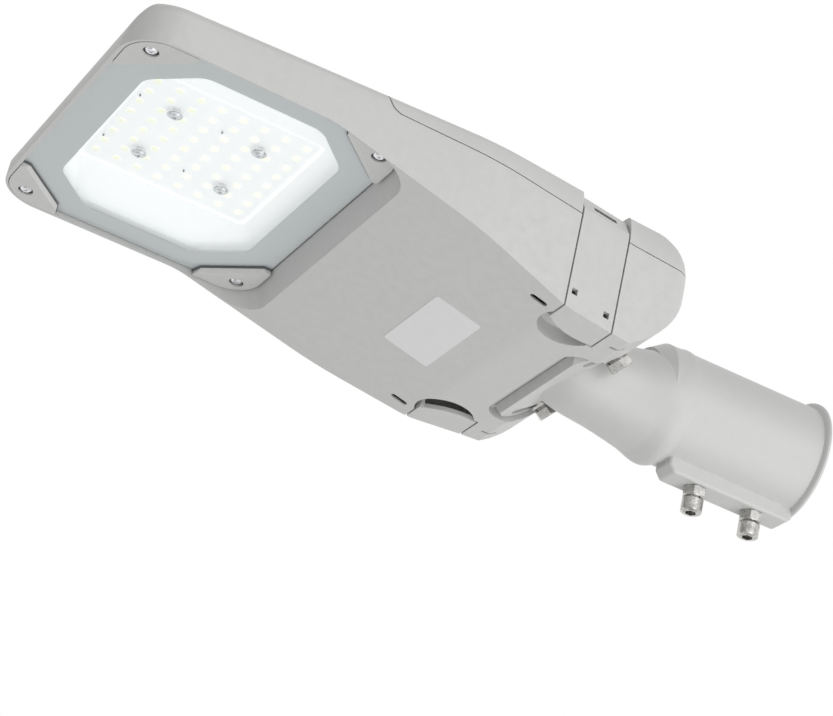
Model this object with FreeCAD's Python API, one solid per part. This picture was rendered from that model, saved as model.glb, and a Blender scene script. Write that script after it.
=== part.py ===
import FreeCAD, Part
import math
import os

V = FreeCAD.Vector

# Street light head on a slip-over pole socket. All sizes are millimetres.
# Origin: centre of the socket's mouth. +X points out of the socket towards the
# pole, +Z is up, and the light shines down. Y = 0 is the plane of symmetry.

# Driving sizes of the head's outline, seen from above
NOSE_X = -497.0
NOSE_HALF_WIDTH = 110.0
NOSE_CORNER_R = 26.0
WAIST_X = -279.0
WAIST_HALF_WIDTH = 107.2
WAIST_BEND_R = 200.0
HIP_X = -181.0
HIP_HALF_WIDTH = 88.6
HIP_BEND_R = 250.0
TAIL_HALF_WIDTH = 83.6
TAIL_CORNER_R = 12.5
TAIL_LEAN_SHARE = 0.82

# Driving sizes of the head's outline, seen from the side
RIM_Z = 13.5
SLOPE_START_X = -377.0
SLOPE_END_X = -216.0
BELLY_Z = -24.0
NOSE_EDGE_Z = 18.0
NOSE_LEAN = 3.0
NOSE_TOP_Z = 41.7
TOP_RISE = 0.051
NOSE_TOP_R = 22.0
TAIL_TOP_R = 32.0
UNDERSIDE_BEND_R = 60.0
CROWN_R = 1250.0
SHOULDER_Z = 33.0
SHOULDER_HEIGHT = 34.0
SHOULDER_REACH = 20.0
SHOULDER_STEPS = (0.0, 0.25, 0.45, 0.62, 0.76, 0.87, 0.95)
TOP_EDGE_R = 6.0

# Tilt seat: the tail and the socket's flange share this axis
TILT_X = -205.0
TILT_Z = 36.5
TAIL_R = 70.0
SEAT_R = 60.0
SEAT_GAP = 0.4
SEAT_WALL = 3.0
SEAT_HALF_WIDTH = 52.4
SEAT_CORNER_R = 12.0
SEAT_START_DEG = 16.3
SEAT_END_DEG = 91.0
TILT_TRAVEL_DEG = 15.0

# Socket flange, neck, tube and boss
FLANGE_THICKNESS = 6.5
FLANGE_HALF_WIDTH = 50.8
FLANGE_START_DEG = 22.5
FLANGE_END_DEG = 73.0
FLANGE_CORNER_R = 11.0
BOLT_DEG = 49.0
BOLT_HALF_SPACING = 41.7
SLOT_END_SPARE_DEG = 0.6
NECK_SECTIONS = ((-176.0, 26.0, 16.5, -5.0), (-165.0, 27.5, 20.5, -4.8), (-154.0, 28.5, 23.6, -4.8),
                 (-140.0, 29.3, 25.8, -4.3), (-126.0, 30.6, 28.2, -4.0), (-113.0, 33.6, 31.0, -3.2),
                 (-107.5, 35.0, 32.9, -2.6), (-90.0, 35.2, 35.2, -0.3))
SHOULDER_START = (-116.0, 29.5)
TUBE_FRONT_X = -107.5
TUBE_FRONT_R = 35.2
TUBE_MOUTH_R = 36.0
LIP_R = 39.4
LIP_LENGTH = 3.2
SOCKET_BORE_R = 30.5
SOCKET_DEPTH = 88.0
CABLE_WAY_R = 12.0
CABLE_DEG = 52.5
CABLE_BEND_X = -125.0
CABLE_BEND_R = 7.0
GLAND_THREAD_R = 8.0
BOSS_FRONT_X = -88.5
BOSS_REAR_X = -0.6
BOSS_HALF_WIDTH = 9.0
BOSS_BOTTOM_Z = -43.8
BOSS_END_CHAMFER = 3.0
SET_SCREW_XS = (-64.5, -24.0)

# Walls and gaps
BODY_WALL = 3.0
COVER_WALL = 2.6
PARTING_Z = 36.0
GASKET_THICKNESS = 0.6
COVER_FRONT_X = -346.5
COVER_FRONT_TOP_X = -354.5
COVER_FRONT_LEAN_Z = 52.0
COVER_CORNER_R = 10.0
COVER_GAP = 0.7
SKIRT_DEPTH = 5.0
SKIRT_WALL = 1.6
SKIRT_GAP = 0.4
GEAR_SPACE_X = -321.0

# Lamp compartment
LAMP_FRONT_X = -494.6
LAMP_REAR_X = -331.2
LAMP_REAR_FOOT_X = -323.0
LAMP_HALF_WIDTH = 107.8
LAMP_CORNER_R = 22.0
GLASS_Z = 16.5
GLASS_THICKNESS = 4.0
GLASS_EDGE_GAP = 0.6
GLASS_CORNER_CUT = 32.5
GLASS_GASKET_THICKNESS = 1.5
LEDGE_WIDTH = 9.0
LAMP_ROOF_Z = 60.0
LAMP_ROOF_WALL = 4.0
BOARD_CENTRE_X = -414.7
BOARD_Z = 31.6
BOARD_LENGTH = 106.0
BOARD_WIDTH = 112.0
BOARD_THICKNESS = 1.6
LENS_PLATE_THICKNESS = 2.2
LENS_PITCH = 13.2
LENS_COUNT = 8
LENS_R = 5.3
LENS_TOP_R = 3.2
LENS_SIDES = 8
LENS_HEIGHT = 2.4
LED_SIZE = 3.5
LED_HEIGHT = 0.7
BOARD_SCREW_OFFSET = 26.4
PEDESTAL_MARGIN = 3.0
REFLECTOR_WALL = 1.0

# Corner clamps of the glass
CLAMP_LEG = 36.0
CLAMP_THICKNESS = 3.2
CLAMP_NIB = 8.5
CLAMP_GAP = 0.5
CLAMP_BEVEL = 1.8
CLAMP_SCREW_FRONT_X = -481.8
CLAMP_SCREW_REAR_X = -343.3
CLAMP_SCREW_HALF_WIDTH = 94.6
CLAMP_SINK_R = 4.6
CLAMP_SINK_DEPTH = 2.4

# Side latches
LATCH_FRONT_X = -217.5
LATCH_REAR_X = -181.5
LATCH_GAP = 1.1
LATCH_WALL = 2.8
LATCH_TOP_Z = 52.5
LATCH_KINK_Z = 40.5
LATCH_LEAN = 0.67
LATCH_POCKET_Y = 66.3
LATCH_NOTCH_Y = 73.9
LATCH_POCKET_WALL = 2.5
LATCH_LIP = ((-217.0, 79.0), (-202.0, 69.5), (-182.0, 68.0))
LATCH_PIN_Y = 77.5
LATCH_PIN_Z = 49.3
LATCH_PIN_R = 1.5
LATCH_BARREL_R = 3.0
LATCH_ARM_Z = 48.4
LATCH_ARM_HEIGHT = 3.6
LATCH_RIB_WIDTH = 2.0
LATCH_RIB_DEPTH = 4.5
LATCH_SLOT_LENGTH = 17.0
LATCH_SLOT_HEIGHT = 3.0
LATCH_SLOT_Z = 46.6
LATCH_WINDOW = 4.0
LATCH_WINDOWS = ((-212.0, -12.5), (-188.0, -15.3))
FINGER_R = 18.5
FINGER_X = -201.5
FINGER_Y = 74.5
FINGER_DEPTH = 9.0

# Openings in the belly plate
BELLY_SLOT_X = -228.0
BELLY_SLOT_Y = 84.5
BELLY_SLOT_LENGTH = 11.0
BELLY_SLOT_WIDTH = 4.0
TAIL_SLIT_X = -170.0
TAIL_SLIT_Y = 74.7
TAIL_SLIT_LENGTH = 10.0
TAIL_SLIT_WIDTH = 2.0
SLIT_DEPTH = 2.0
SLOT_WALL = 0.9

# Gear: tray, driver, terminal block and surge protector
TRAY_THICKNESS = 1.5
TRAY_FRONT_X = -317.0
TRAY_BEND_X = -247.0
TRAY_STEP_X = -236.0
TRAY_REAR_X = -196.0
TRAY_HIGH_Z = 6.5
TRAY_LOW_Z = -12.0
TRAY_HALF_WIDTH = 80.0
TRAY_REAR_HALF_WIDTH = 57.0
TRAY_SCREW_XS = (-311.0, -252.0)
TRAY_SCREW_Y = 75.0
TRAY_BOSS_R = 4.5
TRAY_HOLE_DEPTH = 6.0
TRAY_SCREW_LENGTH = 6.5
DRIVER_LENGTH = 130.0
DRIVER_WIDTH = 56.0
DRIVER_HEIGHT = 29.0
DRIVER_CENTRE_X = -281.0
TERMINAL_X = -222.0
TERMINAL_SIZE = (16.0, 46.0, 17.0)
SURGE_CENTRE = (-218.0, -41.0)
SURGE_SIZE = (30.0, 28.0, 24.0)
TERMINAL_Y = 22.0
TERMINAL_POLES = 5

# Standard fasteners: (head radius, head height, shank radius)
M8_SHANK_R = 4.0
M8_HEX_ACROSS = 13.0
M8_HEX_HEIGHT = 5.5
M8_SOCKET_HEAD_R = 6.5
M8_SOCKET_HEAD_HEIGHT = 8.0
M8_NUT_HEIGHT = 6.5
M8_FLAT_WASHER = (8.5, 1.6)
M8_SPRING_WASHER = (6.8, 2.1)
M8_HEX_KEY = 6.0
M4_SHANK_R = 2.0
M4_PAN_R = 3.8
M4_PAN_HEIGHT = 2.2
M4_HEX_KEY = 2.5
HOLE_CLEARANCE = 0.5
THREAD_CLEARANCE = 0.03
RUNNING_CLEARANCE = 0.06

BIG = 700.0


# Small helpers
def box(x0, x1, y0, y1, z0, z1):
    return Part.makeBox(x1 - x0, y1 - y0, z1 - z0, V(x0, y0, z0))


def cylinder(radius, height, base, axis):
    return Part.makeCylinder(radius, height, base, axis)


def both_sides(shape):
    """A shape on the +Y side together with its mirror image."""
    return shape.fuse(mirrored(shape))


def mirrored(shape):
    return shape.mirror(V(0, 0, 0), V(0, 1, 0))


def rounded_wire(points, radii):
    """Closed wire through points, each corner rounded by its own radius."""
    count = len(points)
    starts = []
    ends = []
    arcs = []
    for i in range(count):
        here = points[i]
        back = (points[i - 1] - here).normalize()
        on = (points[(i + 1) % count] - here).normalize()
        radius = radii[i]
        if radius <= 0:
            starts.append(here)
            ends.append(here)
            arcs.append(None)
            continue
        half = back.getAngle(on) / 2
        reach = radius / math.tan(half)
        middle = (back + on).normalize()
        centre = here + middle * (radius / math.sin(half))
        starts.append(here + back * reach)
        ends.append(here + on * reach)
        arcs.append(centre - middle * radius)
    edges = []
    for i in range(count):
        if arcs[i] is not None:
            edges.append(Part.Arc(starts[i], arcs[i], ends[i]).toShape())
        following = starts[(i + 1) % count]
        if ends[i].distanceToPoint(following) > 1e-6:
            edges.append(Part.LineSegment(ends[i], following).toShape())
    return Part.Wire(edges)


def rounded_rectangle(x0, x1, half_width, radius, z):
    points = [V(x0, -half_width, z), V(x1, -half_width, z), V(x1, half_width, z), V(x0, half_width, z)]
    return rounded_wire(points, [radius] * 4)


def cut_corner_rectangle(x0, x1, half_width, cut, z):
    """Rectangle with 45 degree cuts across its four corners."""
    points = []
    for x, y, step in ((x0, -half_width, 1), (x1, -half_width, -1)):
        near = V(x, y + cut, z)
        far = V(x + step * cut, y, z)
        points += [near, far] if step > 0 else [far, near]
    points += [V(p.x, -p.y, z) for p in reversed(points)]
    return Part.makePolygon(points + [points[0]])


def prism(wire, height):
    return Part.Face(wire).extrude(V(0, 0, height))


def hexagon_prism(across_flats, height, base, axis):
    radius = across_flats / math.sqrt(3)
    points = []
    for i in range(7):
        angle = math.radians(60 * i)
        points.append(V(radius * math.cos(angle), radius * math.sin(angle), 0))
    solid = prism(Part.makePolygon(points), height)
    return placed(solid, base, axis)


def ring_points(centre, radius, count):
    """Corners of a level regular outline, turned so that a flat side faces +X."""
    points = []
    for i in range(count):
        angle = 2 * math.pi * (i + 0.5) / count
        points.append(centre + V(radius * math.cos(angle), radius * math.sin(angle), 0))
    return points


def frustum(low, high):
    """Solid between two outlines with as many corners each, closed by flat faces."""
    faces = [Part.Face(Part.makePolygon(ring + [ring[0]])) for ring in (low, high)]
    for i in range(len(low)):
        j = (i + 1) % len(low)
        faces.append(Part.Face(Part.makePolygon([low[i], low[j], high[j], high[i], low[i]])))
    solid = Part.Solid(Part.makeShell(faces))
    if solid.Volume < 0:
        solid.reverse()
    return solid


def placed(solid, base, axis):
    """Turn a solid made along +Z so that it starts at base and runs along axis."""
    solid.Placement = FreeCAD.Placement(base, FreeCAD.Rotation(V(0, 0, 1), axis))
    return solid


def turned(profile, base, axis):
    """Solid of revolution from (radius, height) pairs, set along an axis."""
    points = [V(radius, 0, height) for radius, height in profile]
    face = Part.Face(Part.makePolygon(points + [points[0]]))
    return placed(face.revolve(V(0, 0, 0), V(0, 0, 1), 360), base, axis)


def seat_direction(degrees):
    """Unit vector from the tilt axis outwards: 0 is straight down, 90 is rearwards."""
    angle = math.radians(degrees)
    return V(math.sin(angle), 0, -math.cos(angle))


def seat_point(radius, degrees, y=0.0):
    return V(TILT_X, y, TILT_Z) + seat_direction(degrees) * radius


def seat_sector(inner_r, outer_r, half_width, start_deg, end_deg, y=0.0):
    """Part of a ring about the tilt axis."""
    corners = [seat_point(inner_r, start_deg, y - half_width), seat_point(outer_r, start_deg, y - half_width),
               seat_point(outer_r, start_deg, y + half_width), seat_point(inner_r, start_deg, y + half_width)]
    face = Part.Face(Part.makePolygon(corners + [corners[0]]))
    return face.revolve(V(TILT_X, 0, TILT_Z), V(0, -1, 0), end_deg - start_deg)


def is_radial_at(edge, degrees):
    """True for a straight edge that points at the tilt axis at this angle."""
    ends = [vertex.Point for vertex in edge.Vertexes]
    if len(ends) != 2 or abs(ends[0].y - ends[1].y) > 1e-3:
        return False
    away = seat_direction(degrees)
    for end in ends:
        arm = end - V(TILT_X, end.y, TILT_Z)
        if arm.normalize().getAngle(away) > 1e-3:
            return False
    return True


# The head's outer form, and the same form shrunk by an even inset
def plan_wire(inset, lean, z):
    """Outline seen from above. A lean draws the sides and the nose in, and the tail a little less."""
    points = [V(NOSE_X + lean, NOSE_HALF_WIDTH - lean, z), V(WAIST_X, WAIST_HALF_WIDTH - lean, z),
              V(HIP_X, HIP_HALF_WIDTH - lean, z),
              V(TILT_X + TAIL_R - TAIL_LEAN_SHARE * lean, TAIL_HALF_WIDTH - lean, z)]
    radii = [NOSE_CORNER_R, WAIST_BEND_R, HIP_BEND_R, TAIL_CORNER_R]
    points += [V(p.x, -p.y, z) for p in reversed(points)]
    radii += list(reversed(radii))
    wire = rounded_wire(points, radii)
    if inset:
        wire = Part.Face(wire).makeOffset2D(-inset).OuterWire
    return wire


def top_z(x):
    """Height of the top's centre line."""
    return NOSE_TOP_Z + TOP_RISE * (x - NOSE_X)


def tail_arc_centre():
    """Centre of the arc that joins the top line to the tail, touching both."""
    fall = NOSE_TOP_Z - TOP_RISE * NOSE_X - TAIL_TOP_R * math.hypot(1, TOP_RISE)
    offset = TOP_RISE * TILT_X + fall - TILT_Z
    spread = TAIL_R - TAIL_TOP_R
    slope = 1 + TOP_RISE ** 2
    root = math.sqrt((TOP_RISE * offset) ** 2 - slope * (offset ** 2 - spread ** 2))
    along = (root - TOP_RISE * offset) / slope
    return V(TILT_X + along, 0, TILT_Z + TOP_RISE * along + offset)


def side_face(inset):
    """Outline seen from the side."""
    axis = V(TILT_X, 0, TILT_Z)
    centre = tail_arc_centre()
    up = V(-TOP_RISE, 0, 1).normalize()
    out = (centre - axis).normalize()
    top_end = centre + up * TAIL_TOP_R
    tail_start = axis + out * TAIL_R
    shoulder = Part.Arc(top_end, centre + (up + out).normalize() * TAIL_TOP_R, tail_start).toShape()
    belly_end = V(TILT_X + math.sqrt(TAIL_R ** 2 - (TILT_Z - BELLY_Z) ** 2), 0, BELLY_Z)
    tail = Part.Arc(tail_start, seat_point(TAIL_R, (SEAT_START_DEG + FLANGE_END_DEG) / 2), belly_end).toShape()
    outline = [V(NOSE_X, 0, RIM_Z), V(NOSE_X, 0, NOSE_EDGE_Z), V(NOSE_X + NOSE_LEAN, 0, top_z(NOSE_X + NOSE_LEAN)),
               top_end]
    top = open_path(outline, [0, 0, NOSE_TOP_R, 0])
    under = [belly_end, V(SLOPE_END_X, 0, BELLY_Z), V(SLOPE_START_X, 0, RIM_Z), V(NOSE_X, 0, RIM_Z)]
    bottom = open_path(under, [0, UNDERSIDE_BEND_R, UNDERSIDE_BEND_R, 0])
    face = Part.Face(Part.Wire(top + [shoulder, tail] + bottom))
    if inset:
        face = Part.Face(face.makeOffset2D(-inset).Wires[0])
    return face


def open_path(points, radii):
    """Edges of an open path with rounded inner corners."""
    edges = []
    start = points[0]
    for i in range(1, len(points) - 1):
        here = points[i]
        if radii[i] <= 0:
            edges.append(Part.LineSegment(start, here).toShape())
            start = here
            continue
        back = (points[i - 1] - here).normalize()
        on = (points[i + 1] - here).normalize()
        half = back.getAngle(on) / 2
        reach = radii[i] / math.tan(half)
        middle = (back + on).normalize()
        centre = here + middle * (radii[i] / math.sin(half))
        edges.append(Part.LineSegment(start, here + back * reach).toShape())
        edges.append(Part.Arc(here + back * reach, centre - middle * radii[i], here + on * reach).toShape())
        start = here + on * reach
    edges.append(Part.LineSegment(start, points[-1]).toShape())
    return edges


def head_form(inset):
    """Solid outer form: plan outline with sloping upper sides, side outline and crowned top."""
    foot = BELLY_Z - 10
    low = prism(plan_wire(inset, 0, foot), SHOULDER_Z - foot)
    sections = []
    for share in SHOULDER_STEPS:
        lean = SHOULDER_REACH * (1 - math.sqrt(1 - share ** 2))
        sections.append(plan_wire(inset, lean, SHOULDER_Z + SHOULDER_HEIGHT * share))
    high = Part.makeLoft(sections, True, False)
    sides = side_face(inset).extrude(V(0, 2 * BIG, 0))
    sides.translate(V(0, -BIG, 0))
    axis = V(1, 0, TOP_RISE).normalize()
    start = V(NOSE_X, 0, NOSE_TOP_Z - CROWN_R) - axis * 100
    crown = cylinder(CROWN_R - inset, BIG, start, axis)
    form = low.fuse(high).common(sides).common(crown)
    return form.removeSplitter()


def soften_top(form):
    """Round the long edges where the crowned top meets the sloping sides."""
    edges = []
    for edge in form.Edges:
        box_size = edge.BoundBox
        long_edge = box_size.XLength > 40 and box_size.YLength < 40
        if long_edge and box_size.ZMax > SHOULDER_Z + 2:
            edges.append(edge)
    return form.makeFillet(TOP_EDGE_R, edges)


def cover_zone(gap):
    """Space above the parting plane and behind the cover's leaning front edge."""
    z0 = PARTING_Z + gap
    front = COVER_FRONT_X + gap
    lean = (COVER_FRONT_TOP_X - COVER_FRONT_X) / (COVER_FRONT_LEAN_Z - PARTING_Z)
    top = PARTING_Z + 60
    points = [V(BIG / 2, -BIG / 2, z0), V(BIG / 2, -BIG / 2, top), V(front + lean * 60, -BIG / 2, top),
              V(front, -BIG / 2, z0)]
    wire = rounded_wire(points, [0, 0, 0, COVER_CORNER_R])
    return Part.Face(wire).extrude(V(0, BIG, 0))


def pocket_block(inner_y, grow, z0, z1):
    """Block of the latch bay on the +Y side, grown by a wall."""
    return box(LATCH_FRONT_X - grow, LATCH_REAR_X + grow, inner_y - grow, BIG / 3, z0, z1)


def gear_space(grow):
    """The hollow for the gear. A positive grow thins the walls round it."""
    hollow = head_form(BODY_WALL - grow)
    hollow = hollow.common(box(GEAR_SPACE_X - grow, BIG, -BIG, BIG, -BIG, BIG))
    seat = seat_sector(SEAT_R - SEAT_WALL + grow, TAIL_R + 30, SEAT_HALF_WIDTH + SEAT_WALL - grow,
                       SEAT_START_DEG - 3, 120)
    pockets = both_sides(pocket_block(LATCH_POCKET_Y, LATCH_POCKET_WALL - grow, -BIG, PARTING_Z + 2))
    finger = cylinder(FINGER_R + LATCH_POCKET_WALL - grow, FINGER_DEPTH + LATCH_POCKET_WALL,
                      V(FINGER_X, FINGER_Y, BELLY_Z), V(0, 0, 1))
    return hollow.cut(seat).cut(pockets).cut(both_sides(finger))


# Positions shared by several pieces
LENS_FRONT_Z = BOARD_Z - BOARD_THICKNESS - LED_HEIGHT - LENS_PLATE_THICKNESS
LEDGE_Z = GLASS_Z + GLASS_THICKNESS + GLASS_GASKET_THICKNESS
CLAMP_Z = GLASS_Z - CLAMP_THICKNESS
BOLT_SEAT_R = SEAT_R + SEAT_GAP + FLANGE_THICKNESS
LATCH_MIDDLE_X = (LATCH_FRONT_X + LATCH_REAR_X) / 2


def clamp_screw_points(z):
    points = []
    for x in (CLAMP_SCREW_FRONT_X, CLAMP_SCREW_REAR_X):
        for side in (-1, 1):
            points.append(V(x, side * CLAMP_SCREW_HALF_WIDTH, z))
    return points


def board_screw_points(z):
    points = []
    for i in (-1, 1):
        for j in (-1, 1):
            points.append(V(BOARD_CENTRE_X + i * BOARD_SCREW_OFFSET, j * BOARD_SCREW_OFFSET, z))
    return points


def tray_screw_points(z):
    return [V(x, side * TRAY_SCREW_Y, z) for x in TRAY_SCREW_XS for side in (-1, 1)]


def body_casting():
    """Lamp compartment and gear compartment in one die casting."""
    form = soften_top(head_form(0))
    body = form.cut(cover_zone(0))
    body = body.cut(gear_space(0).common(box(-BIG, BIG, -BIG, BIG, -BIG, PARTING_Z + 1)))
    mouth = Part.makeLoft([rounded_rectangle(LAMP_FRONT_X, LAMP_REAR_X, LAMP_HALF_WIDTH, LAMP_CORNER_R, GLASS_Z),
                           rounded_rectangle(LAMP_FRONT_X, LAMP_REAR_FOOT_X, LAMP_HALF_WIDTH, LAMP_CORNER_R,
                                             GLASS_Z - 20)], True, True)
    glass_bed = prism(cut_corner_rectangle(LAMP_FRONT_X, LAMP_REAR_X, LAMP_HALF_WIDTH, GLASS_CORNER_CUT,
                                           GLASS_Z - 0.1), LEDGE_Z - GLASS_Z + 0.1)
    lamp = prism(cut_corner_rectangle(LAMP_FRONT_X + LEDGE_WIDTH, LAMP_REAR_X - LEDGE_WIDTH,
                                      LAMP_HALF_WIDTH - LEDGE_WIDTH, GLASS_CORNER_CUT, GLASS_Z), LAMP_ROOF_Z - GLASS_Z)
    lamp = lamp.common(head_form(LAMP_ROOF_WALL))
    pedestal = box(BOARD_CENTRE_X - BOARD_LENGTH / 2 - PEDESTAL_MARGIN, BOARD_CENTRE_X + BOARD_LENGTH / 2
                   + PEDESTAL_MARGIN, -BOARD_WIDTH / 2 - PEDESTAL_MARGIN, BOARD_WIDTH / 2 + PEDESTAL_MARGIN,
                   BOARD_Z, BIG)
    body = body.cut(mouth).cut(glass_bed).cut(lamp.cut(pedestal))
    seat = seat_sector(SEAT_R, TAIL_R + 40, SEAT_HALF_WIDTH, SEAT_START_DEG, SEAT_END_DEG)
    front_corners = [edge for edge in seat.Edges if is_radial_at(edge, SEAT_START_DEG)]
    body = body.cut(seat.makeFillet(SEAT_CORNER_R, front_corners))
    body = body.cut(both_sides(pocket_block(LATCH_POCKET_Y, 0, -BIG, PARTING_Z + 5)))
    finger = cylinder(FINGER_R, FINGER_DEPTH + 5, V(FINGER_X, FINGER_Y, BELLY_Z - 5), V(0, 0, 1))
    body = body.cut(both_sides(finger))
    belly_slot = prism(rounded_slot(BELLY_SLOT_LENGTH, BELLY_SLOT_WIDTH), 12)
    belly_slot.translate(V(BELLY_SLOT_X, BELLY_SLOT_Y, BELLY_Z - 1))
    thinned = box(BELLY_SLOT_X - BELLY_SLOT_LENGTH / 2 - 2, BELLY_SLOT_X + BELLY_SLOT_LENGTH / 2 + 2,
                  BELLY_SLOT_Y - BELLY_SLOT_WIDTH, BELLY_SLOT_Y + BELLY_SLOT_WIDTH, BELLY_Z, 0)
    thinned = thinned.common(head_form(SLOT_WALL))
    body = body.cut(both_sides(thinned))
    slit = prism(rounded_slot(TAIL_SLIT_LENGTH, TAIL_SLIT_WIDTH), SLIT_DEPTH + 10)
    slit.translate(V(TAIL_SLIT_X, TAIL_SLIT_Y, BELLY_Z - 8))
    body = body.cut(both_sides(belly_slot)).cut(both_sides(slit.common(head_form(0))))
    inside = gear_space(0)
    for point in tray_screw_points(TRAY_HIGH_Z):
        boss = cylinder(TRAY_BOSS_R, 40, point - V(0, 0, 40), V(0, 0, 1)).common(head_form(BODY_WALL / 2))
        hole = cylinder(M4_SHANK_R + THREAD_CLEARANCE, TRAY_HOLE_DEPTH, point - V(0, 0, TRAY_HOLE_DEPTH), V(0, 0, 1))
        body = body.fuse(boss).cut(hole)
    for side in (-1, 1):
        y = side * BOLT_HALF_SPACING
        boss = cylinder(9.0, 15, seat_point(SEAT_R - 16, BOLT_DEG, y), seat_direction(BOLT_DEG)).common(inside)
        hole = cylinder(M8_SHANK_R + THREAD_CLEARANCE, 24, seat_point(SEAT_R - 18, BOLT_DEG, y),
                        seat_direction(BOLT_DEG))
        body = body.fuse(boss).cut(hole)
    gland_boss = cylinder(13.0, 6, seat_point(SEAT_R - 8, CABLE_DEG), seat_direction(CABLE_DEG)).common(inside)
    gland_hole = cylinder(GLAND_THREAD_R + THREAD_CLEARANCE, 20, seat_point(SEAT_R - 12, CABLE_DEG),
                          seat_direction(CABLE_DEG))
    body = body.fuse(gland_boss).cut(gland_hole)
    for point in clamp_screw_points(GLASS_Z):
        body = body.cut(cylinder(M4_SHANK_R + THREAD_CLEARANCE, 11, point - V(0, 0, 1), V(0, 0, 1)))
    for point in board_screw_points(BOARD_Z):
        body = body.cut(cylinder(M4_SHANK_R + THREAD_CLEARANCE, 8, point - V(0, 0, 1), V(0, 0, 1)))
    return largest_solid(body.removeSplitter())


def rounded_slot(length, width):
    """Wire of a slot with round ends, along X."""
    straight = (length - width) / 2
    radius = width / 2
    right = Part.Arc(V(straight, -radius, 0), V(straight + radius, 0, 0), V(straight, radius, 0)).toShape()
    left = Part.Arc(V(-straight, radius, 0), V(-straight - radius, 0, 0), V(-straight, -radius, 0)).toShape()
    top = Part.LineSegment(V(straight, radius, 0), V(-straight, radius, 0)).toShape()
    low = Part.LineSegment(V(-straight, -radius, 0), V(straight, -radius, 0)).toShape()
    return Part.Wire([right, top, left, low])


def largest_solid(shape):
    return max(shape.Solids, key=lambda solid: solid.Volume)


def top_cover():
    """Shell over the gear, with a skirt inside the body's wall and two latch notches."""
    form = soften_top(head_form(0))
    zone = cover_zone(COVER_GAP).common(box(-BIG, BIG, -BIG, BIG, PARTING_Z + GASKET_THICKNESS, BIG))
    outside = form.common(zone)
    inner = head_form(COVER_WALL).common(box(GEAR_SPACE_X - 14, BIG, -BIG, BIG, -BIG, BIG))
    floor_z = PARTING_Z + GASKET_THICKNESS
    seat_lid = seat_sector(SEAT_R - SEAT_WALL, TAIL_R + 30, SEAT_HALF_WIDTH + SEAT_WALL, 80, 120)
    seat_lid = seat_lid.common(box(-BIG, BIG, -BIG, BIG, floor_z, floor_z + COVER_WALL))
    notch_shell = both_sides(pocket_block(LATCH_NOTCH_Y, LATCH_POCKET_WALL, floor_z, BIG))
    front_lid = box(-BIG, GEAR_SPACE_X, -BIG, BIG, floor_z, floor_z + COVER_WALL)
    cover = outside.cut(inner.cut(seat_lid).cut(notch_shell).cut(front_lid))
    skirt_zone = box(-BIG, BIG, -BIG, BIG, PARTING_Z - SKIRT_DEPTH, floor_z + 1)
    skirt = gear_space(-SKIRT_GAP).cut(gear_space(-SKIRT_GAP - SKIRT_WALL)).common(skirt_zone)
    cover = cover.fuse(skirt.cut(both_sides(pocket_block(LATCH_POCKET_Y - 3, 3, -BIG, floor_z))))
    cover = cover.cut(both_sides(pocket_block(LATCH_NOTCH_Y, 0, -BIG, BIG)))
    pin_hole = cylinder(LATCH_PIN_R + RUNNING_CLEARANCE, 80, V(LATCH_MIDDLE_X - 40, LATCH_PIN_Y, LATCH_PIN_Z),
                        V(1, 0, 0)).common(pocket_block(LATCH_NOTCH_Y, LATCH_POCKET_WALL - 0.6, -BIG, BIG))
    return largest_solid(cover.cut(both_sides(pin_hole)).removeSplitter())


def latch():
    """Side latch on the +Y side: a band that follows the wall, with its lip under the belly."""
    x0 = LATCH_FRONT_X + LATCH_GAP
    x1 = LATCH_REAR_X - LATCH_GAP
    bay = box(x0, x1, 0, BIG, -BIG, LATCH_TOP_Z)
    band = latch_form(0).cut(latch_form(LATCH_WALL)).common(bay)
    start, middle, end = [V(x, y, 0) for x, y in LATCH_LIP]
    lip_circle = Part.Circle(start, middle, end)
    lip_edge = cylinder(lip_circle.Radius, 2 * BIG, lip_circle.Center - V(0, 0, BIG), V(0, 0, 1))
    beyond = box(x0, x1, start.y, BIG, -BIG, BIG)
    solid = band.common(lip_edge.fuse(beyond))
    arm = box(x0, x1, LATCH_PIN_Y, BIG, LATCH_ARM_Z, LATCH_ARM_Z + LATCH_ARM_HEIGHT)
    barrel = cylinder(LATCH_BARREL_R, x1 - x0, V(x0, LATCH_PIN_Y, LATCH_PIN_Z), V(1, 0, 0))
    solid = solid.fuse(arm.common(latch_form(0))).fuse(barrel)
    ribs = latch_form(0).cut(latch_form(LATCH_WALL + LATCH_RIB_DEPTH))
    for x in (x0, x1 - LATCH_RIB_WIDTH):
        solid = solid.fuse(ribs.common(box(x, x + LATCH_RIB_WIDTH, LATCH_PIN_Y - 1, BIG, BELLY_Z + 1, LATCH_PIN_Z)))
    hole = cylinder(LATCH_PIN_R + RUNNING_CLEARANCE, x1 - x0 + 2, V(x0 - 1, LATCH_PIN_Y, LATCH_PIN_Z), V(1, 0, 0))
    half_slot = LATCH_SLOT_HEIGHT / 2
    slot = box(LATCH_MIDDLE_X - LATCH_SLOT_LENGTH / 2, LATCH_MIDDLE_X + LATCH_SLOT_LENGTH / 2,
               LATCH_PIN_Y + LATCH_BARREL_R, BIG, LATCH_SLOT_Z - half_slot, LATCH_SLOT_Z + half_slot)
    solid = solid.cut(hole).cut(slot)
    half = LATCH_WINDOW / 2
    for x, z in LATCH_WINDOWS:
        solid = solid.cut(box(x - half, x + half, LATCH_PIN_Y, BIG, z - half, z + half))
    return largest_solid(solid.removeSplitter())


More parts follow.
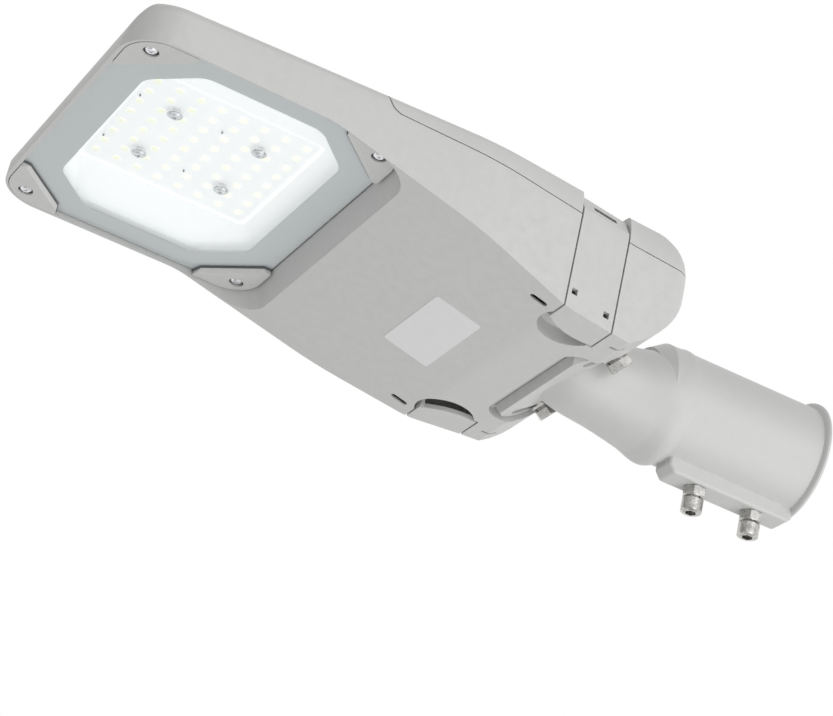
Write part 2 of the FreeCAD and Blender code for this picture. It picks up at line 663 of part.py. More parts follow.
def latch_form(inset):
    """The head's form with the flat leaning facet that the latches have above the kink."""
    form = head_form(inset)
    outer_front = wall_y(LATCH_FRONT_X) - inset
    outer_rear = wall_y(LATCH_REAR_X) - inset
    corners = []
    for x, y in ((LATCH_FRONT_X - 1, outer_front), (LATCH_REAR_X + 1, outer_rear)):
        kink = V(x, y, LATCH_KINK_Z)
        high = V(x, y - LATCH_LEAN * 40, LATCH_KINK_Z + 40)
        far = V(x, BIG, LATCH_KINK_Z + 40)
        corners.append(Part.makePolygon([kink, high, far, V(x, BIG, LATCH_KINK_Z), kink]))
    return form.cut(Part.makeLoft(corners, True, True))


def wall_y(x):
    """Half width of the head's wall between the waist and the hip."""
    share = (x - WAIST_X) / (HIP_X - WAIST_X)
    return WAIST_HALF_WIDTH + (HIP_HALF_WIDTH - WAIST_HALF_WIDTH) * share


def latch_pins():
    reach = LATCH_POCKET_WALL - 0.7
    length = LATCH_REAR_X - LATCH_FRONT_X + 2 * reach
    pin = cylinder(LATCH_PIN_R, length, V(LATCH_FRONT_X - reach, LATCH_PIN_Y, LATCH_PIN_Z), V(1, 0, 0))
    return Part.makeCompound([pin, mirrored(pin)])


def cover_gasket():
    slab = box(-BIG, BIG, -BIG, BIG, PARTING_Z, PARTING_Z + GASKET_THICKNESS)
    ring = head_form(0.8).common(slab).cut(gear_space(0.2)).common(cover_zone(0))
    ring = ring.common(box(GEAR_SPACE_X - 4, BIG, -BIG, BIG, -BIG, BIG))
    ring = ring.cut(both_sides(pocket_block(LATCH_POCKET_Y, 0.5, -BIG, BIG)))
    seat = seat_sector(SEAT_R - 0.5, TAIL_R + 40, SEAT_HALF_WIDTH + 0.5, 60, 120)
    return largest_solid(ring.cut(seat).removeSplitter())


# Lamp compartment
def glass_outline(inset, cut_extra, z):
    return cut_corner_rectangle(LAMP_FRONT_X + inset, LAMP_REAR_X - inset, LAMP_HALF_WIDTH - inset,
                                GLASS_CORNER_CUT + cut_extra, z)


def glass_pane():
    pane = prism(glass_outline(GLASS_EDGE_GAP, GLASS_EDGE_GAP, GLASS_Z), GLASS_THICKNESS)
    rim = [edge for edge in pane.Edges if edge.BoundBox.ZMax < GLASS_Z + 0.01]
    return pane.makeChamfer(0.5, rim)


def glass_gasket():
    z = GLASS_Z + GLASS_THICKNESS
    outer = prism(glass_outline(GLASS_EDGE_GAP, GLASS_EDGE_GAP, z), GLASS_GASKET_THICKNESS)
    inner = prism(glass_outline(LEDGE_WIDTH, 0, z - 1), GLASS_GASKET_THICKNESS + 2)
    return outer.cut(inner)


def corner_clamp(front, side):
    """Corner clamp with a sunk screw seat and bevelled inner edges."""
    x_edge = LAMP_FRONT_X + CLAMP_GAP if front else LAMP_REAR_X - CLAMP_GAP
    step = 1 if front else -1
    y_edge = LAMP_HALF_WIDTH - CLAMP_GAP
    outline = [V(x_edge, y_edge, 0), V(x_edge, y_edge - CLAMP_LEG - 2, 0),
               V(x_edge + step * CLAMP_NIB * 0.6, y_edge - CLAMP_LEG - 2, 0),
               V(x_edge + step * (CLAMP_LEG - 2), y_edge - CLAMP_NIB, 0), V(x_edge + step * CLAMP_LEG, y_edge, 0)]
    wire = rounded_wire(outline, [LAMP_CORNER_R - CLAMP_GAP, 1.0, 2.0, 2.0, 1.0])
    plate = prism(wire, CLAMP_THICKNESS)
    plate.translate(V(0, 0, CLAMP_Z))
    along = (outline[3] - outline[2]).normalize()
    inwards = V(-step * along.y, step * along.x, 0) * CLAMP_BEVEL
    start = outline[2] - along * 20 + V(0, 0, CLAMP_Z)
    wedge = [start + inwards, start - inwards * 4, start - inwards * 4 + V(0, 0, CLAMP_BEVEL * 5), start + inwards]
    plate = plate.cut(Part.Face(Part.makePolygon(wedge)).extrude(along * 80))
    seat = V(CLAMP_SCREW_FRONT_X if front else CLAMP_SCREW_REAR_X, CLAMP_SCREW_HALF_WIDTH, CLAMP_Z)
    plate = plate.cut(cylinder(CLAMP_SINK_R, CLAMP_SINK_DEPTH, seat, V(0, 0, 1)))
    plate = plate.cut(cylinder(M4_SHANK_R + HOLE_CLEARANCE, 20, seat, V(0, 0, 1)))
    return plate if side > 0 else mirrored(plate)


def screw_with_socket(head_r, head_height, shank_r, length, key, base, axis, dome):
    """Socket screw: base is the head's underside and axis points along the shank."""
    rim = head_height * (1 - dome)
    profile = [(0, -head_height), (head_r * 0.62, -head_height), (head_r * 0.9, -(head_height + rim) / 2),
               (head_r, -rim), (head_r, 0), (shank_r, 0), (shank_r, length - shank_r * 0.3),
               (shank_r * 0.7, length), (0, length)]
    solid = turned(profile, base, axis)
    key_base = base - axis * (head_height + 0.1)
    return solid.cut(hexagon_prism(key, head_height * 0.55 + 0.1, key_base, axis))


def clamp_screws():
    screws = []
    for point in clamp_screw_points(CLAMP_Z + CLAMP_SINK_DEPTH):
        screws.append(screw_with_socket(M4_PAN_R, M4_PAN_HEIGHT, M4_SHANK_R, 10, M4_HEX_KEY, point, V(0, 0, 1), 0.6))
    return Part.makeCompound(screws)


def board_face(x_margin, y_margin, corner_r, z):
    half = BOARD_LENGTH / 2 + x_margin
    return rounded_rectangle(BOARD_CENTRE_X - half, BOARD_CENTRE_X + half, BOARD_WIDTH / 2 + y_margin, corner_r, z)


def led_board():
    board = prism(board_face(0, 0, 3, BOARD_Z - BOARD_THICKNESS), BOARD_THICKNESS)
    for point in board_screw_points(BOARD_Z - 5):
        board = board.cut(cylinder(M4_SHANK_R + HOLE_CLEARANCE, 10, point, V(0, 0, 1)))
    return board


def lens_points(z):
    middle = (LENS_COUNT - 1) / 2
    points = []
    for i in range(LENS_COUNT):
        for j in range(LENS_COUNT):
            points.append(V(BOARD_CENTRE_X + (i - middle) * LENS_PITCH, (j - middle) * LENS_PITCH, z))
    return points


def led_chips():
    chips = []
    half = LED_SIZE / 2
    top = BOARD_Z - BOARD_THICKNESS
    for point in lens_points(top):
        chips.append(box(point.x - half, point.x + half, point.y - half, point.y + half, top - LED_HEIGHT, top))
    return Part.makeCompound(chips)


def lens_plate():
    """Clear plate with one raised lens over each light source."""
    plate = prism(board_face(-1, -1, 4, LENS_FRONT_Z), LENS_PLATE_THICKNESS)
    foot = LENS_FRONT_Z + 0.5
    pads = []
    for point in lens_points(foot):
        tip = point - V(0, 0, LENS_HEIGHT + 0.5)
        pads.append(frustum(ring_points(point, LENS_R, LENS_SIDES), ring_points(tip, LENS_TOP_R, LENS_SIDES)))
    plate = plate.fuse(pads)
    for point in board_screw_points(LENS_FRONT_Z - 5):
        plate = plate.cut(cylinder(M4_SHANK_R + HOLE_CLEARANCE, 10, point, V(0, 0, 1)))
    return plate


def board_screws():
    screws = []
    for point in board_screw_points(LENS_FRONT_Z):
        screws.append(screw_with_socket(M4_PAN_R, M4_PAN_HEIGHT, M4_SHANK_R, 10, M4_HEX_KEY, point, V(0, 0, 1), 0.6))
    return Part.makeCompound(screws)


def reflector_frame():
    """White sheet tray between the glass and the board, open over the board."""
    margin = 1.2
    low = glass_outline(LEDGE_WIDTH + 1.0, 0, LEDGE_Z + 0.3)
    high = cut_corner_rectangle(BOARD_CENTRE_X - BOARD_LENGTH / 2 - margin, BOARD_CENTRE_X + BOARD_LENGTH / 2 + margin,
                                BOARD_WIDTH / 2 + margin, 3, BOARD_Z - 1.6)
    outer = Part.makeLoft([low, high], True, True)
    down = V(0, 0, -REFLECTOR_WALL * 1.2)
    low_inner = low.copy()
    low_inner.translate(down)
    high_inner = high.copy()
    high_inner.translate(down)
    cutter = Part.makeLoft([low_inner, high_inner], True, True)
    hole = prism(cut_corner_rectangle(BOARD_CENTRE_X - BOARD_LENGTH / 2 - margin + 0.01, BOARD_CENTRE_X
                                      + BOARD_LENGTH / 2 + margin - 0.01, BOARD_WIDTH / 2 + margin - 0.01, 3, 0), 60)
    return outer.cut(cutter).cut(hole)


# Gear on its tray
def gear_tray():
    """Folded sheet: a high shelf for the driver, and a low shelf behind it."""
    side = [V(TRAY_FRONT_X, 0, TRAY_HIGH_Z), V(TRAY_BEND_X, 0, TRAY_HIGH_Z), V(TRAY_STEP_X, 0, TRAY_LOW_Z),
            V(TRAY_REAR_X, 0, TRAY_LOW_Z)]
    upper = [p + V(0, 0, TRAY_THICKNESS) for p in reversed(side)]
    strip = Part.Face(Part.makePolygon(side + upper + [side[0]]))
    high = strip.extrude(V(0, 2 * TRAY_HALF_WIDTH, 0))
    high.translate(V(0, -TRAY_HALF_WIDTH, 0))
    waist = both_sides(box(TRAY_BEND_X + 2, BIG, TRAY_REAR_HALF_WIDTH, BIG, -BIG, BIG))
    tray = high.cut(waist)
    for point in tray_screw_points(TRAY_HIGH_Z - 5):
        tray = tray.cut(cylinder(M4_SHANK_R + HOLE_CLEARANCE, 20, point, V(0, 0, 1)))
    return tray


def tray_screws():
    screws = []
    for point in tray_screw_points(TRAY_HIGH_Z + TRAY_THICKNESS):
        profile = [(0, -M4_PAN_HEIGHT), (M4_PAN_R, -M4_PAN_HEIGHT), (M4_PAN_R, 0), (M4_SHANK_R, 0),
                   (M4_SHANK_R, TRAY_SCREW_LENGTH), (0, TRAY_SCREW_LENGTH)]
        screws.append(turned(profile, point, V(0, 0, -1)))
    return Part.makeCompound(screws)


def led_driver():
    z = TRAY_HIGH_Z + TRAY_THICKNESS
    case = box(DRIVER_CENTRE_X - DRIVER_WIDTH / 2, DRIVER_CENTRE_X + DRIVER_WIDTH / 2,
               -DRIVER_LENGTH / 2, DRIVER_LENGTH / 2, z, z + DRIVER_HEIGHT)
    upright = [edge for edge in case.Edges if edge.BoundBox.ZLength > DRIVER_HEIGHT - 1]
    return case.makeFillet(3, upright)


def terminal_block():
    length, width, height = TERMINAL_SIZE
    z = TRAY_LOW_Z + TRAY_THICKNESS
    block = box(TERMINAL_X - length / 2, TERMINAL_X + length / 2, TERMINAL_Y - width / 2, TERMINAL_Y + width / 2,
                z, z + height)
    pitch = width / TERMINAL_POLES
    for i in range(TERMINAL_POLES):
        y = TERMINAL_Y - width / 2 + pitch * (i + 0.5)
        block = block.cut(cylinder(2.6, 9, V(TERMINAL_X, y, z + height - 8), V(0, 0, 1)))
        block = block.cut(box(TERMINAL_X - length, TERMINAL_X - length / 2 + 5, y - 2.6, y + 2.6, z + 3, z + 9))
    return block


def surge_protector():
    length, width, height = SURGE_SIZE
    x, y = SURGE_CENTRE
    z = TRAY_LOW_Z + TRAY_THICKNESS
    case = box(x - length / 2, x + length / 2, y - width / 2, y + width / 2, z, z + height)
    upright = [edge for edge in case.Edges if edge.BoundBox.ZLength > height - 1]
    return case.makeFillet(2, upright)


def cable_gland():
    """Gland screwed into the seat wall from inside, where the supply cable enters."""
    axis = seat_direction(CABLE_DEG) * -1
    base = seat_point(SEAT_R - 8, CABLE_DEG)
    profile = [(4.5, -7.5), (GLAND_THREAD_R, -7.5), (GLAND_THREAD_R, 0), (11.0, 0), (11.0, 5), (9.6, 5.5),
               (9.6, 11), (7.5, 14), (4.5, 14)]
    gland = turned(profile, base, axis)
    return gland


# Socket adapter and its fasteners
def spigot_adapter():
    """Casting with the curved flange, the neck, the pole socket and the set screw boss."""
    seat_r = SEAT_R + SEAT_GAP
    middle = (FLANGE_START_DEG + FLANGE_END_DEG) / 2
    flange = seat_sector(seat_r, BOLT_SEAT_R, FLANGE_HALF_WIDTH, FLANGE_START_DEG, FLANGE_END_DEG)
    reach = BOLT_SEAT_R * math.sin(math.radians((FLANGE_END_DEG - FLANGE_START_DEG) / 2))
    trim = prism(rounded_rectangle(-reach, reach, FLANGE_HALF_WIDTH, FLANGE_CORNER_R, 0), 60)
    trim = placed_about_y(trim, seat_point(30, middle), middle)
    flange = flange.common(trim)
    neck = Part.makeLoft([oval(*section) for section in NECK_SECTIONS], True, False)
    shoulder = Part.makeCone(SHOULDER_START[1], TUBE_FRONT_R, TUBE_FRONT_X - SHOULDER_START[0],
                             V(SHOULDER_START[0], 0, 0), V(1, 0, 0))
    tube = Part.makeCone(TUBE_FRONT_R, TUBE_MOUTH_R, -TUBE_FRONT_X, V(TUBE_FRONT_X, 0, 0), V(1, 0, 0))
    lip = turned([(0, 0), (TUBE_MOUTH_R - 0.6, 0), (LIP_R - 1, LIP_LENGTH * 0.35), (LIP_R, LIP_LENGTH * 0.6),
                  (LIP_R, LIP_LENGTH), (0, LIP_LENGTH)], V(-LIP_LENGTH, 0, 0), V(1, 0, 0))
    boss = set_screw_boss()
    solid = neck.fuse([shoulder, tube, lip, boss])
    solid = solid.cut(cylinder(seat_r, BIG, V(TILT_X, -BIG / 2, TILT_Z), V(0, 1, 0)))
    keep_clear = seat_sector(seat_r - 5, TAIL_R + 0.6, BIG / 2, FLANGE_END_DEG, 150)
    solid = solid.cut(keep_clear).fuse(flange)
    solid = solid.cut(cylinder(SOCKET_BORE_R, SOCKET_DEPTH + 1, V(-SOCKET_DEPTH, 0, 0), V(1, 0, 0)))
    cable_way = cylinder(CABLE_WAY_R, BIG, V(-SOCKET_DEPTH + 1, 0, 0), V(-1, 0, 0))
    cable_way = cable_way.cut(cylinder(seat_r - 1, BIG, V(TILT_X, -BIG / 2, TILT_Z), V(0, 1, 0)))
    cable_way = cable_way.common(box(TILT_X, BIG, -BIG, BIG, -BIG, TILT_Z))
    bend_start = seat_point(seat_r - 2, CABLE_DEG - TILT_TRAVEL_DEG + 3.5)
    bend_end = V(CABLE_BEND_X, 0, 0)
    bend = cylinder(CABLE_BEND_R, (bend_end - bend_start).Length, bend_start, (bend_end - bend_start).normalize())
    solid = solid.cut(cable_way).cut(bend)
    for side in (-1, 1):
        solid = solid.cut(tilt_slot(side * BOLT_HALF_SPACING))
        pad = cylinder(M8_FLAT_WASHER[0] + 0.9, 40, seat_point(BOLT_SEAT_R, BOLT_DEG, side * BOLT_HALF_SPACING),
                       seat_direction(BOLT_DEG))
        sweep = seat_sector(BOLT_SEAT_R, BOLT_SEAT_R + 25, M8_FLAT_WASHER[0] + 0.9, BOLT_DEG - TILT_TRAVEL_DEG - 9,
                            BOLT_DEG + 9, side * BOLT_HALF_SPACING)
        solid = solid.cut(pad).cut(sweep)
    for x in SET_SCREW_XS:
        hole = cylinder(M8_SHANK_R + THREAD_CLEARANCE, 30, V(x, 0, BOSS_BOTTOM_Z - 1), V(0, 0, 1))
        solid = solid.cut(hole)
    return largest_solid(solid.removeSplitter())


def oval(x, half_width, half_height, z):
    """Upright oval section at x, centred at height z."""
    wide = half_width >= half_height
    long_axis = V(0, 1, 0) if wide else V(0, 0, 1)
    centre = V(x, 0, z)
    if abs(half_width - half_height) < 0.01:
        return Part.Wire(Part.makeCircle(half_width, centre, V(1, 0, 0)))
    end = centre + long_axis * max(half_width, half_height)
    side = centre + (V(0, 0, 1) if wide else V(0, -1, 0)) * min(half_width, half_height)
    return Part.Wire(Part.Ellipse(end, side, centre).toShape())


def placed_about_y(solid, base, degrees):
    """Set a prism made along +Z so that it runs outwards from the tilt axis."""
    solid.Placement = FreeCAD.Placement(base, FreeCAD.Rotation(V(0, 1, 0), 180 - degrees))
    return solid


def tilt_slot(y):
    """Curved slot in the flange that lets the bolt move through the tilt travel."""
    half = M8_SHANK_R + HOLE_CLEARANCE + 0.1
    start = BOLT_DEG - TILT_TRAVEL_DEG - SLOT_END_SPARE_DEG
    end = BOLT_DEG + SLOT_END_SPARE_DEG
    inner = SEAT_R - 3
    slot = seat_sector(inner, BOLT_SEAT_R + 8, half, start, end, y)
    for degrees in (start, end):
        slot = slot.fuse(cylinder(half, BOLT_SEAT_R + 8 - inner, seat_point(inner, degrees, y),
                                  seat_direction(degrees)))
    return slot


def set_screw_boss():
    side = [V(BOSS_FRONT_X, 0, -TUBE_FRONT_R + 8), V(BOSS_FRONT_X, 0, BOSS_BOTTOM_Z + 5),
            V(BOSS_FRONT_X + 4, 0, BOSS_BOTTOM_Z), V(BOSS_REAR_X - BOSS_END_CHAMFER, 0, BOSS_BOTTOM_Z),
            V(BOSS_REAR_X, 0, BOSS_BOTTOM_Z + BOSS_END_CHAMFER), V(BOSS_REAR_X, 0, -TUBE_FRONT_R + 8)]
    face = Part.Face(rounded_wire(side, [0, 3, 3, 3, 1, 0]))
    boss = face.extrude(V(0, 2 * BOSS_HALF_WIDTH, 0))
    boss.translate(V(0, -BOSS_HALF_WIDTH, 0))
    long_edges = []
    for edge in boss.Edges:
        size = edge.BoundBox
        if size.XLength > 40 and size.ZMax < BOSS_BOTTOM_Z + 1:
            long_edges.append(edge)
    return boss.makeFillet(2.0, long_edges)


def tilt_hardware(kind):
    """Bolts, spring washers or flat washers of the two tilt fixings."""
    pieces = []
    flat_r, flat_t = M8_FLAT_WASHER
    spring_r, spring_t = M8_SPRING_WASHER
    gap = 0.3
    outwards = seat_direction(BOLT_DEG)
    for side in (-1, 1):
        y = side * BOLT_HALF_SPACING
        flat_base = seat_point(BOLT_SEAT_R + gap, BOLT_DEG, y)
        spring_base = flat_base + outwards * flat_t
        head_base = spring_base + outwards * spring_t
        if kind == "flat":
            ring = cylinder(flat_r, flat_t, flat_base, outwards)
            pieces.append(ring.cut(cylinder(M8_SHANK_R + 0.3, flat_t, flat_base, outwards)))
        if kind == "spring":
            ring = cylinder(spring_r, spring_t, spring_base, outwards)
            ring = ring.cut(cylinder(M8_SHANK_R + 0.2, spring_t, spring_base, outwards))
            slit = Part.makeBox(6, 1.0, 6, V(2.5, -0.5, -2))
            slit.rotate(V(0, 0, 0), V(1, 0, 0), 20)
            pieces.append(ring.cut(placed_on(slit, spring_base, outwards)))
        if kind == "bolt":
            head = hexagon_prism(M8_HEX_ACROSS, M8_HEX_HEIGHT, head_base, outwards)
            dome = turned([(0, 0), (M8_HEX_ACROSS * 0.585, 0), (M8_HEX_ACROSS * 0.585, M8_HEX_HEIGHT - 1.1),
                           (M8_HEX_ACROSS * 0.47, M8_HEX_HEIGHT), (0, M8_HEX_HEIGHT)], head_base, outwards)
            shank = cylinder(M8_SHANK_R, 28, head_base - outwards * 28, outwards)
            pieces.append(head.common(dome).fuse(shank))
    return Part.makeCompound(pieces)


def placed_on(solid, base, axis):
    """Move a solid modelled round the origin onto a base point and axis."""
    frame = FreeCAD.Placement(base, FreeCAD.Rotation(V(0, 0, 1), axis))
    copy = solid.copy()
    copy.Placement = frame.multiply(copy.Placement)
    return copy


def set_screws():
    """Socket head screws that clamp the pole, drawn back clear of the bore."""
    screws = []
    under_head = BOSS_BOTTOM_Z - M8_NUT_HEIGHT - 1.6
    length = -SOCKET_BORE_R - 0.6 - under_head
    for x in SET_SCREW_XS:
        screws.append(screw_with_socket(M8_SOCKET_HEAD_R, M8_SOCKET_HEAD_HEIGHT, M8_SHANK_R, length, M8_HEX_KEY,
                                        V(x, 0, under_head), V(0, 0, 1), 0.12))
    return Part.makeCompound(screws)


def set_screw_nuts():
    nuts = []
    for x in SET_SCREW_XS:
        base = V(x, 0, BOSS_BOTTOM_Z - M8_NUT_HEIGHT)
        nut = hexagon_prism(M8_HEX_ACROSS, M8_NUT_HEIGHT, base, V(0, 0, 1))
        rim = M8_HEX_ACROSS * 0.585
        flat = M8_HEX_ACROSS * 0.47
        barrel = turned([(0, 0), (flat, 0), (rim, 1.1), (rim, M8_NUT_HEIGHT - 1.1), (flat, M8_NUT_HEIGHT),
                         (0, M8_NUT_HEIGHT)], base, V(0, 0, 1))
        nuts.append(nut.common(barrel).cut(cylinder(M8_SHANK_R + THREAD_CLEARANCE, 10, base - V(0, 0, 1), V(0, 0, 1))))
    return Part.makeCompound(nuts)


def main():
    os.makedirs("parts", exist_ok=True)
    left_latch = latch()
    pieces = {
        "body_casting": body_casting(),
        "top_cover": top_cover(),
        "cover_gasket": cover_gasket(),
        "latch_left": left_latch,
        "latch_right": mirrored(left_latch),
        "latch_pins": latch_pins(),
        "glass_pane": glass_pane(),
        "glass_gasket": glass_gasket(),
        "clamp_front_left": corner_clamp(True, 1),
        "clamp_front_right": corner_clamp(True, -1),
        "clamp_rear_left": corner_clamp(False, 1),
        "clamp_rear_right": corner_clamp(False, -1),
        "clamp_screws": clamp_screws(),
        "led_board": led_board(),
        "led_chips": led_chips(),
        "lens_plate": lens_plate(),
        "board_screws": board_screws(),
        "reflector_frame": reflector_frame(),
        "gear_tray": gear_tray(),
        "tray_screws": tray_screws(),
        "led_driver": led_driver(),
        "terminal_block": terminal_block(),
        "surge_protector": surge_protector(),
        "cable_gland": cable_gland(),
        "spigot_adapter": spigot_adapter(),
        "tilt_bolts": tilt_hardware("bolt"),
        "tilt_flat_washers": tilt_hardware("flat"),
        "tilt_spring_washers": tilt_hardware("spring"),
        "set_screws": set_screws(),
        "set_screw_nuts": set_screw_nuts(),
    }
    for name, shape in pieces.items():
        solids = len(shape.Solids)
        print(name, "solids", solids, "valid", shape.isValid(), "volume", round(shape.Volume))
        shape.exportStep("parts/" + name + ".step")


main()
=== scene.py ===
"""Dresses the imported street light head: finishes, small trim, studio and camera.

Everything is in metres in the row frame: the origin is the centre of the pole
socket's mouth, +X points out of the socket, +Z is up, and Y = 0 is the head's
plane of symmetry.
"""

import logging
import math
from dataclasses import dataclass, field
from enum import Enum

import bmesh
import bpy
from mathutils import Matrix, Vector


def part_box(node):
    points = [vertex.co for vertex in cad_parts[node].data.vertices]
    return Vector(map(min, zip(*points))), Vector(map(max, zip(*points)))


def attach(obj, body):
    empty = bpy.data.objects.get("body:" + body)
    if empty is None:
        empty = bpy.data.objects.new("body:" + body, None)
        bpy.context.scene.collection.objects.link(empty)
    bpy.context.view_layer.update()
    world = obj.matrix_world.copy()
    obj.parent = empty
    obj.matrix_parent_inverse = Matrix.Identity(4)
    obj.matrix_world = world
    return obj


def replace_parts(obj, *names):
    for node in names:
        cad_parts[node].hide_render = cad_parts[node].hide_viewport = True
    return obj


log = logging.getLogger("street_light")
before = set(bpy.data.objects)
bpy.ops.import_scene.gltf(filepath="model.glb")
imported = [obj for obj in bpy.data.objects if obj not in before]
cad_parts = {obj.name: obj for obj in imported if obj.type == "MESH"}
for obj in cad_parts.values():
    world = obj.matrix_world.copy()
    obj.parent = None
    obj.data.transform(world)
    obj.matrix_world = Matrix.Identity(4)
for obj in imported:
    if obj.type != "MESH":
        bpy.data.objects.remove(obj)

MM = 0.001
Colour = tuple[float, float, float]
Place = tuple[float, float, float]
Ring = list[bmesh.types.BMVert]


class Term:
    """A shader socket that can stand in an arithmetic expression."""

    def __init__(self, graph: "Graph", socket: bpy.types.NodeSocket) -> None:
        """Keep the graph that the socket belongs to, and the socket."""
        self.graph = graph
        self.socket = socket

    def _maths(self, operation: str, left: "Term | float", right: "Term | float") -> "Term":
        """Add one Math node.

        Args:
            operation: The Math node's operation.
            left: Its first value.
            right: Its second value.

        Returns:
            The node's result.
        """
        return self.graph.node("ShaderNodeMath", {"operation": operation}, {0: left, 1: right})

    def __add__(self, other: "Term | float") -> "Term":
        """Sum."""
        return self._maths("ADD", self, other)

    def __radd__(self, other: float) -> "Term":
        """Sum with a number on the left."""
        return self._maths("ADD", other, self)

    def __sub__(self, other: "Term | float") -> "Term":
        """Difference."""
        return self._maths("SUBTRACT", self, other)

    def __rsub__(self, other: float) -> "Term":
        """Difference with a number on the left."""
        return self._maths("SUBTRACT", other, self)

    def __mul__(self, other: "Term | float") -> "Term":
        """Product."""
        return self._maths("MULTIPLY", self, other)

    def __rmul__(self, other: float) -> "Term":
        """Product with a number on the left."""
        return self._maths("MULTIPLY", other, self)

    def __pow__(self, power: float) -> "Term":
        """Power with a plain number."""
        return self._maths("POWER", self, power)


class Graph:
    """The node tree of a material or of the world, built from expressions."""

    def __init__(self, owner: "bpy.types.Material | bpy.types.World") -> None:
        """Empty the owner's node tree.

        Args:
            owner: The new material or world.
        """
        self.owner = owner
        owner.use_nodes = True
        owner.node_tree.nodes.clear()

    def node(self, kind: str, settings: dict | None = None, inputs: dict | None = None,
             out: str | int = 0) -> Term:
        """Add any node.

        Args:
            kind: The node's type name.
            settings: Properties that are set before the sockets. A ramp's stops
                come as "stops", a list of (position, colour).
            inputs: Values or terms by socket name or number.
            out: The output socket that is returned.

        Returns:
            The chosen output as a term.
        """
        added = self.owner.node_tree.nodes.new(kind)
        for key, value in (settings or {}).items():
            if key == "stops":
                ramp = added.color_ramp
                while len(ramp.elements) < len(value):
                    ramp.elements.new(1.0)
                for element, (position, colour) in zip(ramp.elements, value):
                    element.position = position
                    element.color = (*colour, 1.0)
            else:
                setattr(added, key, value)
        for key, value in (inputs or {}).items():
            if isinstance(value, Term):
                self.owner.node_tree.links.new(value.socket, added.inputs[key])
            elif isinstance(value, tuple) and len(value) == 3 and added.inputs[key].type == "RGBA":
                added.inputs[key].default_value = (*value, 1.0)
            else:
                added.inputs[key].default_value = value
        return Term(self, added.outputs[out] if len(added.outputs) else None)

    def place(self) -> Term:
        """Position on the object, in metres."""
        return self.node("ShaderNodeTexCoord", out="Object")

    def noise(self, size: float, detail: float, stretch: Place = (1.0, 1.0, 1.0)) -> Term:
        """Soft noise.

        Args:
            size: Rough size of its features in metres.
            detail: Number of octaves.
            stretch: Scale along each axis.

        Returns:
            The noise, about 0.3 to 0.7.
        """
        spot = self.node("ShaderNodeVectorMath", {"operation": "MULTIPLY"},
                         {0: self.place(), 1: stretch})
        return self.node("ShaderNodeTexNoise", None,
                         {"Vector": spot, "Scale": 1.0 / size, "Detail": detail})

    def ramp(self, value: Term, stops: list[tuple[float, Colour]]) -> Term:
        """Colour by value."""
        return self.node("ShaderNodeValToRGB", {"stops": stops}, {0: value})

    def spread(self, value: Term, low: float, high: float,
               start: float = 0.3, end: float = 0.7) -> Term:
        """Map start..end, the middle of a noise unless given, to low..high."""
        return self.node("ShaderNodeMapRange", None, {0: value, 1: start, 2: end, 3: low, 4: high})

    def mix(self, share: Term, first: "Term | Colour", second: "Term | Colour") -> Term:
        """Blend two colours by a share of 0..1."""
        return self.node("ShaderNodeMix", {"data_type": "RGBA"},
                         {0: share, 6: first, 7: second}, 2)

    def edges(self) -> Term:
        """1 on sharp outer edges, 0 elsewhere."""
        point = self.node("ShaderNodeNewGeometry", out="Pointiness")
        return self.spread(point, 0.0, 1.0, 0.52, 0.60)

    def grazing(self, face_on: float, edge_on: float) -> Term:
        """Share that is face_on straight ahead and grows by edge_on towards a flat view."""
        slant = self.node("ShaderNodeLayerWeight", None, {"Blend": 0.5}, "Facing")
        return slant ** 4 * edge_on + face_on

    def bump(self, height: Term, depth: float) -> Term:
        """Bump normal from a height of 0..1 that stands for a depth in metres."""
        return self.node("ShaderNodeBump", None,
                         {"Height": height, "Distance": depth, "Strength": 1.0}, "Normal")

    def finish(self, shader: Term) -> bpy.types.Material:
        """Send a shader to the output and return the material."""
        self.node("ShaderNodeOutputMaterial", None, {"Surface": shader})
        return self.owner

    def principled(self, **values: "Term | float | Colour") -> Term:
        """Principled shader with sockets given as words, such as base_color."""
        sockets = {key.replace("_", " ").title(): value for key, value in values.items()}
        return self.node("ShaderNodeBsdfPrincipled", None, sockets)


@dataclass(frozen=True)
class PowderCoat:
    """Baked powder paint: fine orange peel over a slightly uneven casting."""

    name: str
    light: Colour
    dark: Colour
    peel: float = 1.1 * MM
    peel_depth: float = 0.035 * MM
    shine: tuple[float, float] = (0.40, 0.52)
    # painted_glow: emission that lightens the surface as painted light, though nothing in the head
    # is switched on
    painted_glow: float = 0.0
    cloud_size: float = 90 * MM
    wave_size: float = 8 * MM
    dust_size: float = 6 * MM
    # Share and gain of the lightening on sharp edges, partly worn paint and partly a painted edge
    # highlight.
    wear_and_highlight_share: float = 0.4
    wear_and_highlight_gain: float = 1.1

    def material(self) -> bpy.types.Material:
        """Build the paint."""
        g = Graph(bpy.data.materials.new(self.name))
        cloud = g.noise(self.cloud_size, 2.0)
        grain = g.noise(self.peel, 2.0)
        dust = g.noise(self.dust_size, 4.0)
        tone = g.ramp(cloud * 0.3 + dust * 0.4 + grain * 0.3,
                      [(0.35, self.dark), (0.65, self.light)])
        wave = g.noise(self.wave_size, 1.0)
        # Sharp outer edges are lightened in dusty patches: partly worn paint, partly a painted
        # edge highlight.
        wear_and_highlight_mask = g.edges() * g.spread(dust, 0.0, self.wear_and_highlight_share)
        wear_and_highlight_tone = tuple(min(1.0, self.wear_and_highlight_gain * part) for part in self.light)
        height = grain + wave * 0.8
        return g.finish(g.principled(base_color=g.mix(wear_and_highlight_mask, tone, wear_and_highlight_tone),
                                     roughness=g.spread(dust, *self.shine),
                                     normal=g.bump(height, self.peel_depth),
                                     emission_color=tone, emission_strength=self.painted_glow))


